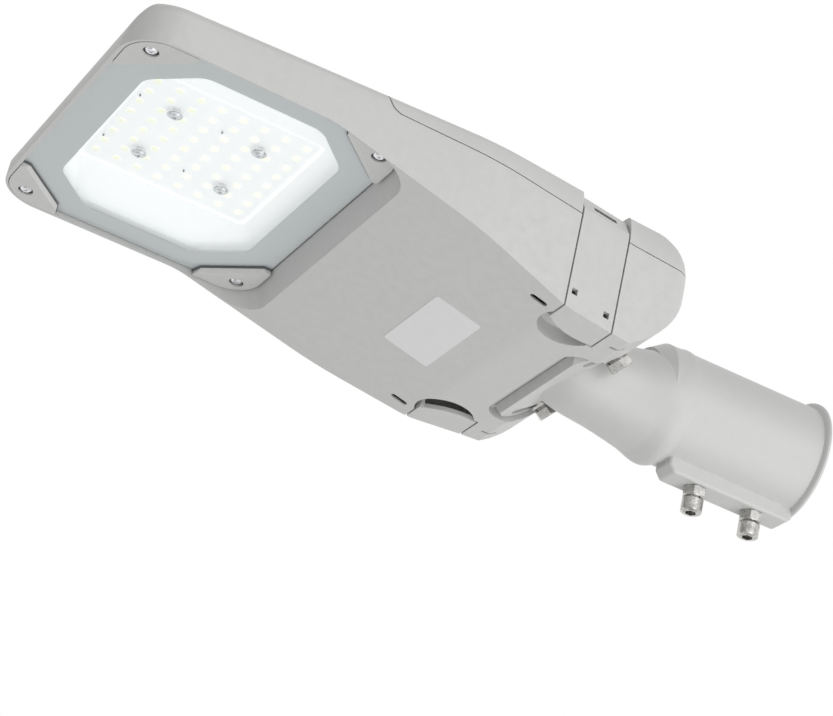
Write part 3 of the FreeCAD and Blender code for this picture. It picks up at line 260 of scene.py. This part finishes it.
@dataclass(frozen=True)
class BrightSteel:
    """Turned or cold headed stainless steel."""

    name: str
    tint: Colour = (0.62, 0.61, 0.59)
    shine: tuple[float, float] = (0.14, 0.30)
    stretch: Place = (1.0, 1.0, 9.0)
    shade: float = 0.55
    mark_size: float = 1.6 * MM
    mark_depth: float = 0.004 * MM
    cloud_size: float = 6 * MM

    def material(self) -> bpy.types.Material:
        """Build the steel."""
        g = Graph(bpy.data.materials.new(self.name))
        marks = g.noise(self.mark_size, 2.0, self.stretch)
        cloud = g.noise(self.cloud_size, 2.0)
        darker = tuple(self.shade * part for part in self.tint)
        tone = g.ramp(cloud * 0.5 + marks * 0.5, [(0.38, darker), (0.58, self.tint)])
        return g.finish(g.principled(base_color=tone, metallic=1.0,
                                     roughness=g.spread(marks, *self.shine),
                                     normal=g.bump(marks, self.mark_depth)))


@dataclass(frozen=True)
class ZincSheet:
    """Galvanised sheet with a soft spangle."""

    name: str
    dark: Colour = (0.46, 0.48, 0.50)
    light: Colour = (0.70, 0.72, 0.74)
    shine: tuple[float, float] = (0.34, 0.5)
    cells_per_metre: float = 140.0
    cell_depth: float = 0.02 * MM
    cloud_size: float = 12 * MM

    def material(self) -> bpy.types.Material:
        """Build the zinc."""
        g = Graph(bpy.data.materials.new(self.name))
        cells = g.node("ShaderNodeTexVoronoi", None,
                       {"Vector": g.place(), "Scale": self.cells_per_metre}, "Distance")
        cloud = g.noise(self.cloud_size, 3.0)
        tone = g.ramp(cells * 0.5 + cloud * 0.5, [(0.2, self.dark), (0.75, self.light)])
        return g.finish(g.principled(base_color=tone, metallic=0.9,
                                     roughness=g.spread(cloud, *self.shine),
                                     normal=g.bump(cells, self.cell_depth)))


@dataclass(frozen=True)
class Moulded:
    """Plastic or rubber with a fine moulded texture."""

    name: str
    light: Colour
    dark: Colour
    shine: tuple[float, float] = (0.45, 0.6)
    grain: float = 0.6 * MM
    depth: float = 0.02 * MM
    # painted_glow: emission that lightens the surface as painted light, though nothing in the head
    # is switched on
    painted_glow: float = 0.0
    cloud_size: float = 8 * MM

    def material(self) -> bpy.types.Material:
        """Build the plastic."""
        g = Graph(bpy.data.materials.new(self.name))
        grain = g.noise(self.grain, 2.0)
        cloud = g.noise(self.cloud_size, 3.0)
        tone = g.ramp(cloud * 0.7 + grain * 0.3, [(0.35, self.dark), (0.65, self.light)])
        return g.finish(g.principled(base_color=tone, roughness=g.spread(cloud, *self.shine),
                                     normal=g.bump(grain, self.depth),
                                     emission_color=tone, emission_strength=self.painted_glow))


@dataclass(frozen=True)
class ClearPane:
    """Clear glass or clear plastic that shows what lies behind it."""

    name: str
    tint: Colour
    ripple: float
    face_on: float = 0.03
    edge_on: float = 0.6
    mirror_tint: Colour = (0.95, 0.96, 0.96)
    shine: tuple[float, float] = (0.02, 0.05)
    wave_size: float = 40 * MM
    film_size: float = 25 * MM

    def material(self) -> bpy.types.Material:
        """Build the pane: light goes straight through, and edge-on a growing share is mirrored."""
        g = Graph(bpy.data.materials.new(self.name))
        wave = g.bump(g.noise(self.wave_size, 1.0), self.ripple)
        film = g.spread(g.noise(self.film_size, 3.0), *self.shine)
        mirror = g.principled(base_color=self.mirror_tint, metallic=1.0,
                              roughness=film, normal=wave)
        through = g.node("ShaderNodeBsdfTransparent", None, {"Color": self.tint})
        share = g.grazing(self.face_on, self.edge_on)
        return g.finish(g.node("ShaderNodeMixShader", None, {0: share, 1: through, 2: mirror}))


@dataclass(frozen=True)
class MilkyLens:
    """Moulded clear optic that scatters part of the light."""

    name: str
    tint: Colour
    haze: float
    rim: float
    pale: Colour = (0.97, 0.98, 0.99)
    clear: Colour = (0.995, 0.995, 0.995)
    shine: tuple[float, float] = (0.08, 0.16)
    cloud_size: float = 5 * MM

    def material(self) -> bpy.types.Material:
        """Build the optic: mostly see-through, with a glossy scattering skin."""
        g = Graph(bpy.data.materials.new(self.name))
        cloud = g.noise(self.cloud_size, 2.0)
        skin = g.principled(base_color=g.ramp(cloud, [(0.3, self.tint), (0.7, self.pale)]),
                            roughness=g.spread(cloud, *self.shine))
        through = g.node("ShaderNodeBsdfTransparent", None, {"Color": self.clear})
        share = g.grazing(self.haze, self.rim)
        return g.finish(g.node("ShaderNodeMixShader", None, {0: share, 1: through, 2: skin}))


class Paint(Enum):
    """The head's finishes."""

    CASTING = PowderCoat("casting_paint", (0.605, 0.609, 0.596), (0.577, 0.581, 0.570))
    # The reflector glows: painted light that brightens it and evens out its shading.
    WHITE = PowderCoat("reflector_white", (0.87, 0.87, 0.87), (0.85, 0.852, 0.855),
                       peel_depth=0.01 * MM, painted_glow=0.43)
    STEEL = BrightSteel("bright_steel")
    SPRING_STEEL = BrightSteel("spring_steel", (0.30, 0.29, 0.28), (0.28, 0.42))
    PALE_STEEL = BrightSteel("pale_steel", (0.84, 0.84, 0.86), (0.24, 0.36), shade=0.72)
    ZINC = ZincSheet("zinc_sheet")
    RUBBER = Moulded("black_rubber", (0.045, 0.045, 0.045), (0.03, 0.03, 0.03), (0.6, 0.75))
    # Dark grey for the strips along the clamps' inner edges: painted shade.
    SHADE_STRIP = Moulded("shade_strip_grey", (0.14, 0.145, 0.145), (0.11, 0.115, 0.115), (0.6, 0.75))
    DARK_PLASTIC = Moulded("dark_plastic", (0.09, 0.09, 0.10), (0.06, 0.06, 0.07))
    PALE_PLASTIC = Moulded("pale_plastic", (0.82, 0.82, 0.80), (0.76, 0.76, 0.75))
    CASE = Moulded("driver_case", (0.86, 0.86, 0.86), (0.80, 0.80, 0.81), (0.35, 0.5))
    # The board glows: painted light that keeps it near white behind the glass.
    BOARD = Moulded("board_mask", (0.90, 0.90, 0.90), (0.86, 0.865, 0.87), (0.3, 0.42),
                    grain=0.3 * MM, depth=0.005 * MM, painted_glow=0.5)
    # The chips glow though the light is not switched on: painted light.
    PHOSPHOR = Moulded("phosphor", (0.94, 0.94, 0.76), (0.92, 0.92, 0.70), (0.25, 0.4),
                       grain=0.4 * MM, depth=0.01 * MM, painted_glow=0.4)
    GLASS = ClearPane("clear_glass", (0.975, 0.985, 0.985), ripple=0.01 * MM)
    LENS = MilkyLens("clear_lens", (0.93, 0.93, 0.98), haze=0.02, rim=0.06)
    PRINT = Moulded("glass_print", (0.58, 0.605, 0.612), (0.565, 0.59, 0.597), (0.3, 0.4),
                    grain=0.5 * MM, depth=0.002 * MM)
    FILM = Moulded("label_film", (0.79, 0.79, 0.79), (0.77, 0.77, 0.77), (0.3, 0.36),
                   grain=0.4 * MM, depth=0.001 * MM)


_made: dict[Paint, bpy.types.Material] = {}


def finish_of(paint: Paint) -> bpy.types.Material:
    """The material of a finish, built once."""
    if paint not in _made:
        _made[paint] = paint.value.material()
    return _made[paint]


def dress(paint: Paint, *nodes: str) -> None:
    """Give the named CAD nodes a finish.

    Args:
        paint: The finish.
        nodes: Names of the nodes.
    """
    for name in nodes:
        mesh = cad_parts[name].data
        mesh.materials.clear()
        mesh.materials.append(finish_of(paint))
        log.info("dressed %s with %s", name, paint.name.lower())


def place_object(name: str, data: bpy.types.ID) -> bpy.types.Object:
    """Add an object with the given data to the scene."""
    made = bpy.data.objects.new(name, data)
    bpy.context.scene.collection.objects.link(made)
    return made


def piece(name: str, mesh: bpy.types.Mesh, paint: Paint, body: str) -> bpy.types.Object:
    """Add a mesh as a piece of the object.

    Args:
        name: The piece's name.
        mesh: Its mesh, in the row frame.
        paint: Its finish.
        body: The CAD body that it moves with.

    Returns:
        The object.
    """
    made = place_object(name, mesh)
    mesh.materials.append(finish_of(paint))
    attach(made, body)
    log.info("built %s", name)
    return made


def rounded_outline(corners: list[tuple[float, float]], radius: float,
                    steps: int = 6) -> list[Vector]:
    """Closed outline with rounded corners.

    Args:
        corners: The sharp corners in order.
        radius: The radius at every corner.
        steps: Segments in each corner.

    Returns:
        The outline's points.
    """
    points = []
    count = len(corners)
    for i in range(count):
        here = Vector(corners[i])
        back = (Vector(corners[i - 1]) - here).normalized()
        on = (Vector(corners[(i + 1) % count]) - here).normalized()
        half = back.angle(on) / 2
        reach = radius / math.tan(half)
        centre = here + (back + on).normalized() * (radius / math.sin(half))
        start = here + back * reach - centre
        end = here + on * reach - centre
        turn = math.atan2(start.x * end.y - start.y * end.x, start.dot(end))
        for k in range(steps + 1):
            angle = turn * k / steps
            spun = Matrix.Rotation(angle, 2) @ start
            points.append(centre + spun)
    return points


def rectangle(x0: float, x1: float, half_width: float) -> list[tuple[float, float]]:
    """Corners of a level rectangle that is centred on Y = 0."""
    return [(x0, -half_width), (x1, -half_width), (x1, half_width), (x0, half_width)]


def mirrored(half: list[tuple[float, float]]) -> list[tuple[float, float]]:
    """Half an outline with its mirror image over Y = 0."""
    return half + [(x, -y) for x, y in reversed(half)]


def as_mesh(name: str, bm: bmesh.types.BMesh) -> bpy.types.Mesh:
    """Turn working geometry into a mesh and free it."""
    mesh = bpy.data.meshes.new(name)
    bm.to_mesh(mesh)
    bm.free()
    return mesh


def bridge(bm: bmesh.types.BMesh, first: Ring, second: Ring) -> None:
    """Join two rings of as many points by quads."""
    count = len(first)
    for k in range(count):
        on = (k + 1) % count
        bm.faces.new((first[k], first[on], second[on], second[k]))


def circle(bm: bmesh.types.BMesh, centre: Vector, radius: float, z: float, sides: int) -> Ring:
    """Add a level ring of points.

    Args:
        bm: The mesh that it is added to.
        centre: Its centre in plan.
        radius: Its radius.
        z: Its height.
        sides: Number of points.

    Returns:
        The points in order.
    """
    angles = [math.tau * k / sides for k in range(sides)]
    return [bm.verts.new((centre.x + radius * math.cos(angle),
                          centre.y + radius * math.sin(angle), z)) for angle in angles]


def fill_between(bm: bmesh.types.BMesh, loops: list[Ring]) -> None:
    """Fill the level area inside the first loop and outside the others."""
    edges = []
    for loop in loops:
        for k in range(len(loop)):
            pair = (loop[k], loop[(k + 1) % len(loop)])
            edges.append(bm.edges.get(pair) or bm.edges.new(pair))
    bmesh.ops.triangle_fill(bm, use_beauty=True, use_dissolve=False, edges=edges)


def flat_ring(inner: list[Vector], outer: list[Vector], low_z: float,
              high_z: float) -> bmesh.types.BMesh:
    """Closed level plate between two outlines.

    Args:
        inner: Outline of its opening.
        outer: Its outer outline.
        low_z: Its lower face.
        high_z: Its upper face.

    Returns:
        The working geometry.
    """
    bm = bmesh.new()
    levels = []
    for z in (low_z, high_z):
        loops = [[bm.verts.new((p.x, p.y, z)) for p in outline] for outline in (outer, inner)]
        fill_between(bm, loops)
        levels.append(loops)
    for below, above in zip(*levels):
        bridge(bm, below, above)
    bmesh.ops.recalc_face_normals(bm, faces=bm.faces)
    return bm


def washers(centres: list[tuple[float, float]], radii: tuple[float, float], top_z: float,
            height: float, sides: int = 28) -> bmesh.types.BMesh:
    """Flat rings that hang from a level face.

    Args:
        centres: Their centres in plan.
        radii: Inner and outer radius.
        top_z: The face that they hang from.
        height: Their height.
        sides: Points on each circle.

    Returns:
        The working geometry.
    """
    bm = bmesh.new()
    inner, outer = radii
    low_z = top_z - height
    for centre in centres:
        rings = [circle(bm, Vector(centre), radius, z, sides)
                 for radius, z in ((inner, top_z), (inner, low_z), (outer, low_z), (outer, top_z))]
        for first, second in zip(rings, rings[1:] + rings[:1]):
            bridge(bm, first, second)
    bmesh.ops.recalc_face_normals(bm, faces=bm.faces)
    return bm


@dataclass
class HeadHousing:
    """The die cast body with its cover and the bare label on its belly."""

    label_length: float = 31.5 * MM
    label_width: float = 67.3 * MM
    label_centre_x: float = -250.2 * MM
    label_centre_y: float = 3.5 * MM
    label_corner: float = 2.0 * MM
    label_thickness: float = 0.25 * MM
    label_lift: float = 0.02 * MM
    slope_start: tuple[float, float] = (-377 * MM, 13.5 * MM)
    slope_end: tuple[float, float] = (-216 * MM, -24 * MM)

    def build(self) -> None:
        """Make the label on the sloping belly plate."""
        run = self.slope_end[0] - self.slope_start[0]
        rise = self.slope_end[1] - self.slope_start[1]
        along = Vector((run, 0, rise)).normalized()
        outward = Vector((rise, 0, -run)).normalized()
        share = (self.label_centre_x - self.slope_start[0]) / run
        centre_z = self.slope_start[1] + rise * share
        centre = Vector((self.label_centre_x, self.label_centre_y, centre_z))
        half = self.label_length / 2
        outline = rounded_outline(rectangle(-half, half, self.label_width / 2), self.label_corner)
        bm = bmesh.new()
        rings = []
        for lift in (self.label_lift, self.label_lift + self.label_thickness):
            foot = centre + outward * lift
            rings.append([bm.verts.new(foot + along * p.x + Vector((0, p.y, 0))) for p in outline])
            bm.faces.new(rings[-1])
        bridge(bm, *rings)
        bmesh.ops.recalc_face_normals(bm, faces=bm.faces)
        piece("blank_label", as_mesh("blank_label", bm), Paint.FILM, "head")

    def dress(self) -> None:
        """Paint the castings and the seal."""
        dress(Paint.CASTING, "body_casting", "top_cover")
        dress(Paint.RUBBER, "cover_gasket")


@dataclass
class LampCompartment:
    """Glass pane with its printed border, the light board and the reflector."""

    window_front: float = -472.7 * MM
    window_rear: float = -351.9 * MM
    window_half: float = 88.9 * MM
    front_cut: tuple[float, float] = (558.3 * MM, 1.05)
    rear_cut: tuple[float, float] = (-324.9 * MM, -1.10)
    window_corner: float = 14.0 * MM
    print_margin: float = 0.3 * MM
    print_cut: float = 33.0 * MM
    print_corner: float = 1.0 * MM
    print_depth: float = 0.45 * MM
    print_thickness: float = 0.05 * MM
    plate_thickness: float = 2.2 * MM
    plate_corner: float = 4.0 * MM
    sharp_angle: float = math.radians(50)
    lens_count: int = 8
    lens_pitch: float = 13.2 * MM
    lens_radius: float = 5.6 * MM
    lens_height: float = 1.5 * MM
    dome_rings: int = 5
    dome_sides: int = 24
    pin_xs: tuple[float, float] = (-463.5 * MM, -412.5 * MM)
    pin_y: float = 27.2 * MM
    pin_radius: float = 0.6 * MM
    pin_tip_radius: float = 0.48 * MM
    pin_sides: int = 14
    pin_length: float = 1.2 * MM
    seat_offset: float = 26.4 * MM
    seat_radii: tuple[float, float] = (3.9 * MM, 4.7 * MM)
    seat_height: float = 0.5 * MM
    clamp_screw_xs: tuple[float, float] = (-481.8 * MM, -343.3 * MM)
    clamp_screw_y: float = 94.6 * MM
    clamp_sink_depth: float = 2.4 * MM
    # Size of the black rings that paint the shade in the clamp screws' countersinks.
    clamp_ring_radii: tuple[float, float] = (3.85 * MM, 4.55 * MM)
    clamp_ring_height: float = 1.3 * MM
    clamp_edge_xs: tuple[float, float] = (-494.1 * MM, -331.7 * MM)
    clamp_edge_y: float = 107.3 * MM
    clamp_path: tuple[tuple[float, float], ...] = (
        (0.0, 38.0 * MM), (5.1 * MM, 38.0 * MM), (34.0 * MM, 8.5 * MM), (36.0 * MM, 0.0))
    # Size of the dark strips along the clamps' inner edges, which are painted shade.
    shade_strip_width: float = 0.5 * MM
    shade_strip_height: float = 1.1 * MM
    lip_width: float = 2.6 * MM
    lip_thickness: float = 0.6 * MM
    lip_lift: float = 0.15 * MM
    lip_corner: float = 3.0 * MM
    board_gap: float = 0.15 * MM

    def window(self) -> list[Vector]:
        """Outline of the clear window, with cut corners."""
        front_y = self.front_cut[0] + self.front_cut[1] * self.window_front
        front_x = (self.window_half - self.front_cut[0]) / self.front_cut[1]
        rear_y = self.rear_cut[0] + self.rear_cut[1] * self.window_rear
        rear_x = (self.window_half - self.rear_cut[0]) / self.rear_cut[1]
        half = [(self.window_front, front_y), (front_x, self.window_half),
                (rear_x, self.window_half), (self.window_rear, rear_y)]
        return rounded_outline(mirrored(half), self.window_corner)

    def build(self) -> None:
        """Make the printed border of the glass, the lenses and the small trim."""
        self.border()
        self.optics()
        self.pins()
        self.rings()
        self.shade_strips()
        self.lip()

    def border(self) -> None:
        """Make the border that is printed on the glass, just inside its outer face."""
        low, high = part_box("glass_pane")
        z = low[2] + self.print_depth
        cut = self.print_cut
        x0, x1 = low[0] + self.print_margin, high[0] - self.print_margin
        y1 = high[1] - self.print_margin
        half = [(x0, y1 - cut), (x0 + cut, y1), (x1 - cut, y1), (x1, y1 - cut)]
        outer = rounded_outline(mirrored(half), self.print_corner)
        bm = flat_ring(self.window(), outer, z, z + self.print_thickness)
        piece("glass_print", as_mesh("glass_print", bm), Paint.PRINT, "head")

    def optics(self) -> None:
        """Make the clear plate with a round lens over each light source."""
        low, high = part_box("lens_plate")
        centre_x = (low[0] + high[0]) / 2
        face_z = high[2] - self.plate_thickness
        bm = bmesh.new()
        edge = rounded_outline(rectangle(low[0], high[0], high[1]), self.plate_corner)
        lower = [bm.verts.new((p.x, p.y, face_z)) for p in edge]
        upper = [bm.verts.new((p.x, p.y, high[2])) for p in edge]
        bridge(bm, lower, upper)
        bm.faces.new(upper)
        loops = [lower]
        middle = (self.lens_count - 1) / 2
        for i in range(self.lens_count):
            for j in range(self.lens_count):
                x = centre_x + (i - middle) * self.lens_pitch
                y = (j - middle) * self.lens_pitch
                loops.append(self.dome(bm, Vector((x, y, face_z))))
        fill_between(bm, loops)
        bmesh.ops.recalc_face_normals(bm, faces=bm.faces)
        mesh = as_mesh("lens_array", bm)
        mesh.shade_smooth()
        mesh.set_sharp_from_angle(angle=self.sharp_angle)
        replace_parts(piece("lens_array", mesh, Paint.LENS, "head"), "lens_plate")

    def dome(self, bm: bmesh.types.BMesh, foot: Vector) -> Ring:
        """Add one round lens that hangs from the plate.

        Args:
            bm: The mesh that it is added to.
            foot: Centre of its base on the plate.

        Returns:
            The ring of points where it meets the plate.
        """
        rings = []
        for step in range(self.dome_rings):
            angle = math.pi / 2 * step / self.dome_rings
            rings.append(circle(bm, foot, self.lens_radius * math.cos(angle),
                                foot.z - self.lens_height * math.sin(angle) ** 2, self.dome_sides))
        for upper, lower in zip(rings, rings[1:]):
            bridge(bm, upper, lower)
        bm.faces.new(rings[-1])
        return rings[0]

    def pins(self) -> None:
        """Make the small dark pins that hold the board, seen through the clear plate."""
        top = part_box("lens_plate")[1][2]
        bm = bmesh.new()
        for x in self.pin_xs:
            for side in (-1, 1):
                spot = Matrix.Translation((x, side * self.pin_y, top - self.pin_length / 2))
                bmesh.ops.create_cone(bm, cap_ends=True, segments=self.pin_sides,
                                      radius1=self.pin_tip_radius, radius2=self.pin_radius,
                                      depth=self.pin_length, matrix=spot)
        piece("board_pins", as_mesh("board_pins", bm), Paint.SPRING_STEEL,
              "head")

    def rings(self) -> None:
        """Make the washers under the lens plate's screws and the dark rings round the clamp
        screws, which are painted shade in their countersinks.
        """
        low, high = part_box("lens_plate")
        middle = (low[0] + high[0]) / 2
        seats = [(middle + i * self.seat_offset, j * self.seat_offset)
                 for i in (-1, 1) for j in (-1, 1)]
        bm = washers(seats, self.seat_radii, high[2] - self.plate_thickness, self.seat_height)
        piece("screw_seats", as_mesh("screw_seats", bm), Paint.PALE_STEEL,
              "head")
        # The black rings in the clamp screws' countersinks stand for the shadow there: painted
        # shade.
        sinks = [(x, side * self.clamp_screw_y) for x in self.clamp_screw_xs for side in (-1, 1)]
        floor_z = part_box("clamp_front_left")[0][2] + self.clamp_sink_depth
        bm = washers(sinks, self.clamp_ring_radii, floor_z, self.clamp_ring_height)
        piece("clamp_screw_shade_rings", as_mesh("clamp_screw_shade_rings", bm), Paint.RUBBER,
              "head")

    def shade_strips(self) -> None:
        """Make the dark strip along the inner edge of each clamp, painted shade for the clamp's
        shaded side wall.
        """
        glass_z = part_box("glass_pane")[0][2]
        bm = bmesh.new()
        heights = (glass_z, glass_z - self.shade_strip_height)
        for edge_x, step in zip(self.clamp_edge_xs, (1, -1)):
            path = [Vector((step * x, -y)) for x, y in self.clamp_path]
            grown = [p + p.normalized() * self.shade_strip_width for p in path]
            for side in (-1, 1):
                outline = [(edge_x + p.x, side * (self.clamp_edge_y + p.y))
                           for p in path + grown[::-1]]
                levels = [[bm.verts.new((x, y, z)) for x, y in outline] for z in heights]
                bridge(bm, *levels)
                for loop in levels:
                    for k in range(len(path) - 1):
                        bm.faces.new((loop[k], loop[k + 1], loop[-k - 2], loop[-k - 1]))
        bmesh.ops.recalc_face_normals(bm, faces=bm.faces)
        piece("clamp_shade_strips", as_mesh("clamp_shade_strips", bm), Paint.SHADE_STRIP, "head")

    def lip(self) -> None:
        """Make the reflector's white lip that closes the gap round the board."""
        low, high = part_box("led_board")
        z = low[2] + self.lip_lift
        rims = []
        for grow in (self.board_gap, self.lip_width):
            sharp = rectangle(low[0] - grow, high[0] + grow, high[1] + grow)
            rims.append(rounded_outline(sharp, self.lip_corner))
        bm = flat_ring(rims[0], rims[1], z, z + self.lip_thickness)
        piece("reflector_lip", as_mesh("reflector_lip", bm), Paint.WHITE, "head")

    def dress(self) -> None:
        """Give glass, lenses, board and reflector their finishes."""
        dress(Paint.GLASS, "glass_pane")
        dress(Paint.RUBBER, "glass_gasket")
        dress(Paint.PHOSPHOR, "led_chips")
        dress(Paint.BOARD, "led_board")
        dress(Paint.WHITE, "reflector_frame")
        dress(Paint.PALE_STEEL, "board_screws")
        dress(Paint.CASTING, "clamp_front_left", "clamp_front_right",
              "clamp_rear_left", "clamp_rear_right")
        dress(Paint.PALE_STEEL, "clamp_screws")


@dataclass
class SideLatches:
    """The two latches of the cover."""

    def dress(self) -> None:
        """Paint the latches and leave their pins bright."""
        dress(Paint.CASTING, "latch_left", "latch_right")
        dress(Paint.STEEL, "latch_pins")


@dataclass
class Gear:
    """What is on the tray in the closed compartment."""

    def dress(self) -> None:
        """Give the tray and the gear their finishes."""
        dress(Paint.ZINC, "gear_tray")
        dress(Paint.STEEL, "tray_screws")
        dress(Paint.CASE, "led_driver")
        dress(Paint.PALE_PLASTIC, "terminal_block")
        dress(Paint.DARK_PLASTIC, "surge_protector", "cable_gland")


@dataclass
class PoleSocket:
    """The socket adapter with its bolts and screws."""

    def dress(self) -> None:
        """Paint the casting and leave the fasteners bright."""
        dress(Paint.CASTING, "spigot_adapter")
        dress(Paint.STEEL, "tilt_bolts", "tilt_flat_washers", "set_screws", "set_screw_nuts")
        dress(Paint.SPRING_STEEL, "tilt_spring_washers")


@dataclass(frozen=True)
class Lamp:
    """One soft studio lamp."""

    name: str
    place: Place
    size: float
    power: float


@dataclass
class Studio:
    """Pale floor, white surround, soft lamps and the camera of the photograph."""

    floor_z: float = -2.5
    floor_radius: float = 2.0
    floor_sides: int = 96
    floor_cloud: float = 0.4
    floor_dark: Colour = (0.80, 0.80, 0.80)
    floor_light: Colour = (0.84, 0.84, 0.84)
    floor_roughness: float = 0.9
    world_level: float = 0.51
    aim: Place = (-0.25, 0.0, 0.0)
    lamps: list[Lamp] = field(default_factory=lambda: [
        Lamp("key_lamp", (0.5, -2.5, 0.2), 1.6, 19.5),
        Lamp("fill_lamp", (1.7, -1.7, -1.3), 1.8, 10.5),
        Lamp("top_lamp", (-0.4, 1.0, 2.2), 2.0, 3.5),
        Lamp("low_lamp", (0.3, -1.1, -2.1), 1.8, 18.0),
    ])
    focal_px: float = 2829.7
    frame_px: int = 833
    sensor: float = 36.0
    clip: tuple[float, float] = (0.05, 50.0)
    eye: Place = (-0.7949, -1.3281, -0.7947)
    right: Place = (0.8639, -0.4629, 0.1986)
    down: Place = (0.3789, 0.3375, -0.8617)
    ahead: Place = (0.3319, 0.8196, 0.4669)

    def floor(self) -> None:
        """Lay the pale floor far below the head."""
        bm = bmesh.new()
        bmesh.ops.create_circle(bm, cap_ends=True, segments=self.floor_sides,
                                radius=self.floor_radius)
        bmesh.ops.translate(bm, verts=bm.verts, vec=Vector((self.aim[0], 0, self.floor_z)))
        mesh = as_mesh("floor", bm)
        g = Graph(bpy.data.materials.new("pale_floor"))
        tone = g.ramp(g.noise(self.floor_cloud, 3.0),
                      [(0.3, self.floor_dark), (0.7, self.floor_light)])
        shader = g.principled(base_color=tone, roughness=self.floor_roughness)
        mesh.materials.append(g.finish(shader))
        place_object("floor", mesh)

    def surround(self) -> None:
        """White background for camera, glossy and see-through rays, plain light for the rest."""
        world = bpy.data.worlds.new("studio")
        bpy.context.scene.world = world
        g = Graph(world)
        seen = g.node("ShaderNodeLightPath", out="Is Camera Ray")
        for name in ("Is Glossy Ray", "Is Transmission Ray"):
            ray = g.node("ShaderNodeLightPath", out=name)
            seen = g.node("ShaderNodeMath", {"operation": "MAXIMUM"}, {0: seen, 1: ray})
        level = g.spread(seen, self.world_level, 1.0, 0.0, 1.0)
        back = g.node("ShaderNodeBackground", None, {"Color": (1.0, 1.0, 1.0), "Strength": level})
        g.node("ShaderNodeOutputWorld", None, {"Surface": back})

    def light(self) -> None:
        """Hang the lamps, each turned towards the head."""
        for lamp in self.lamps:
            data = bpy.data.lights.new(lamp.name, "AREA")
            data.energy = lamp.power
            data.size = lamp.size
            made = place_object(lamp.name, data)
            made.location = lamp.place
            towards = Vector(self.aim) - Vector(lamp.place)
            made.rotation_euler = towards.to_track_quat("-Z", "Y").to_euler()

    def camera(self) -> None:
        """Set the camera of the photograph."""
        data = bpy.data.cameras.new("photo_camera")
        data.sensor_fit = "HORIZONTAL"
        data.sensor_width = self.sensor
        data.lens = self.focal_px * self.sensor / self.frame_px
        data.clip_start, data.clip_end = self.clip
        made = place_object("photo_camera", data)
        right, up, back = Vector(self.right), -Vector(self.down), -Vector(self.ahead)
        turn = Matrix((right, up, back)).transposed().to_4x4()
        made.matrix_world = Matrix.Translation(Vector(self.eye)) @ turn
        bpy.context.scene.camera = made

    def build(self) -> None:
        """Set up the whole studio."""
        self.floor()
        self.surround()
        self.light()
        self.camera()
        bpy.context.scene.view_settings.view_transform = "Standard"
        log.info("built studio")


def corners(bounds: tuple) -> list[list[float]]:
    """A box as plain lists of numbers."""
    return [[float(value) for value in corner] for corner in bounds]


def main() -> None:
    """Dress the head from the lamp to the socket, then set up the studio."""
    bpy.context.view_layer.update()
    housing = HeadHousing()
    housing.build()
    housing.dress()
    lamp = LampCompartment()
    lamp.build()
    lamp.dress()
    SideLatches().dress()
    Gear().dress()
    PoleSocket().dress()
    Studio().build()


if __name__ == "__main__":
    logging.basicConfig(level=logging.INFO, format="%(message)s")
    main()
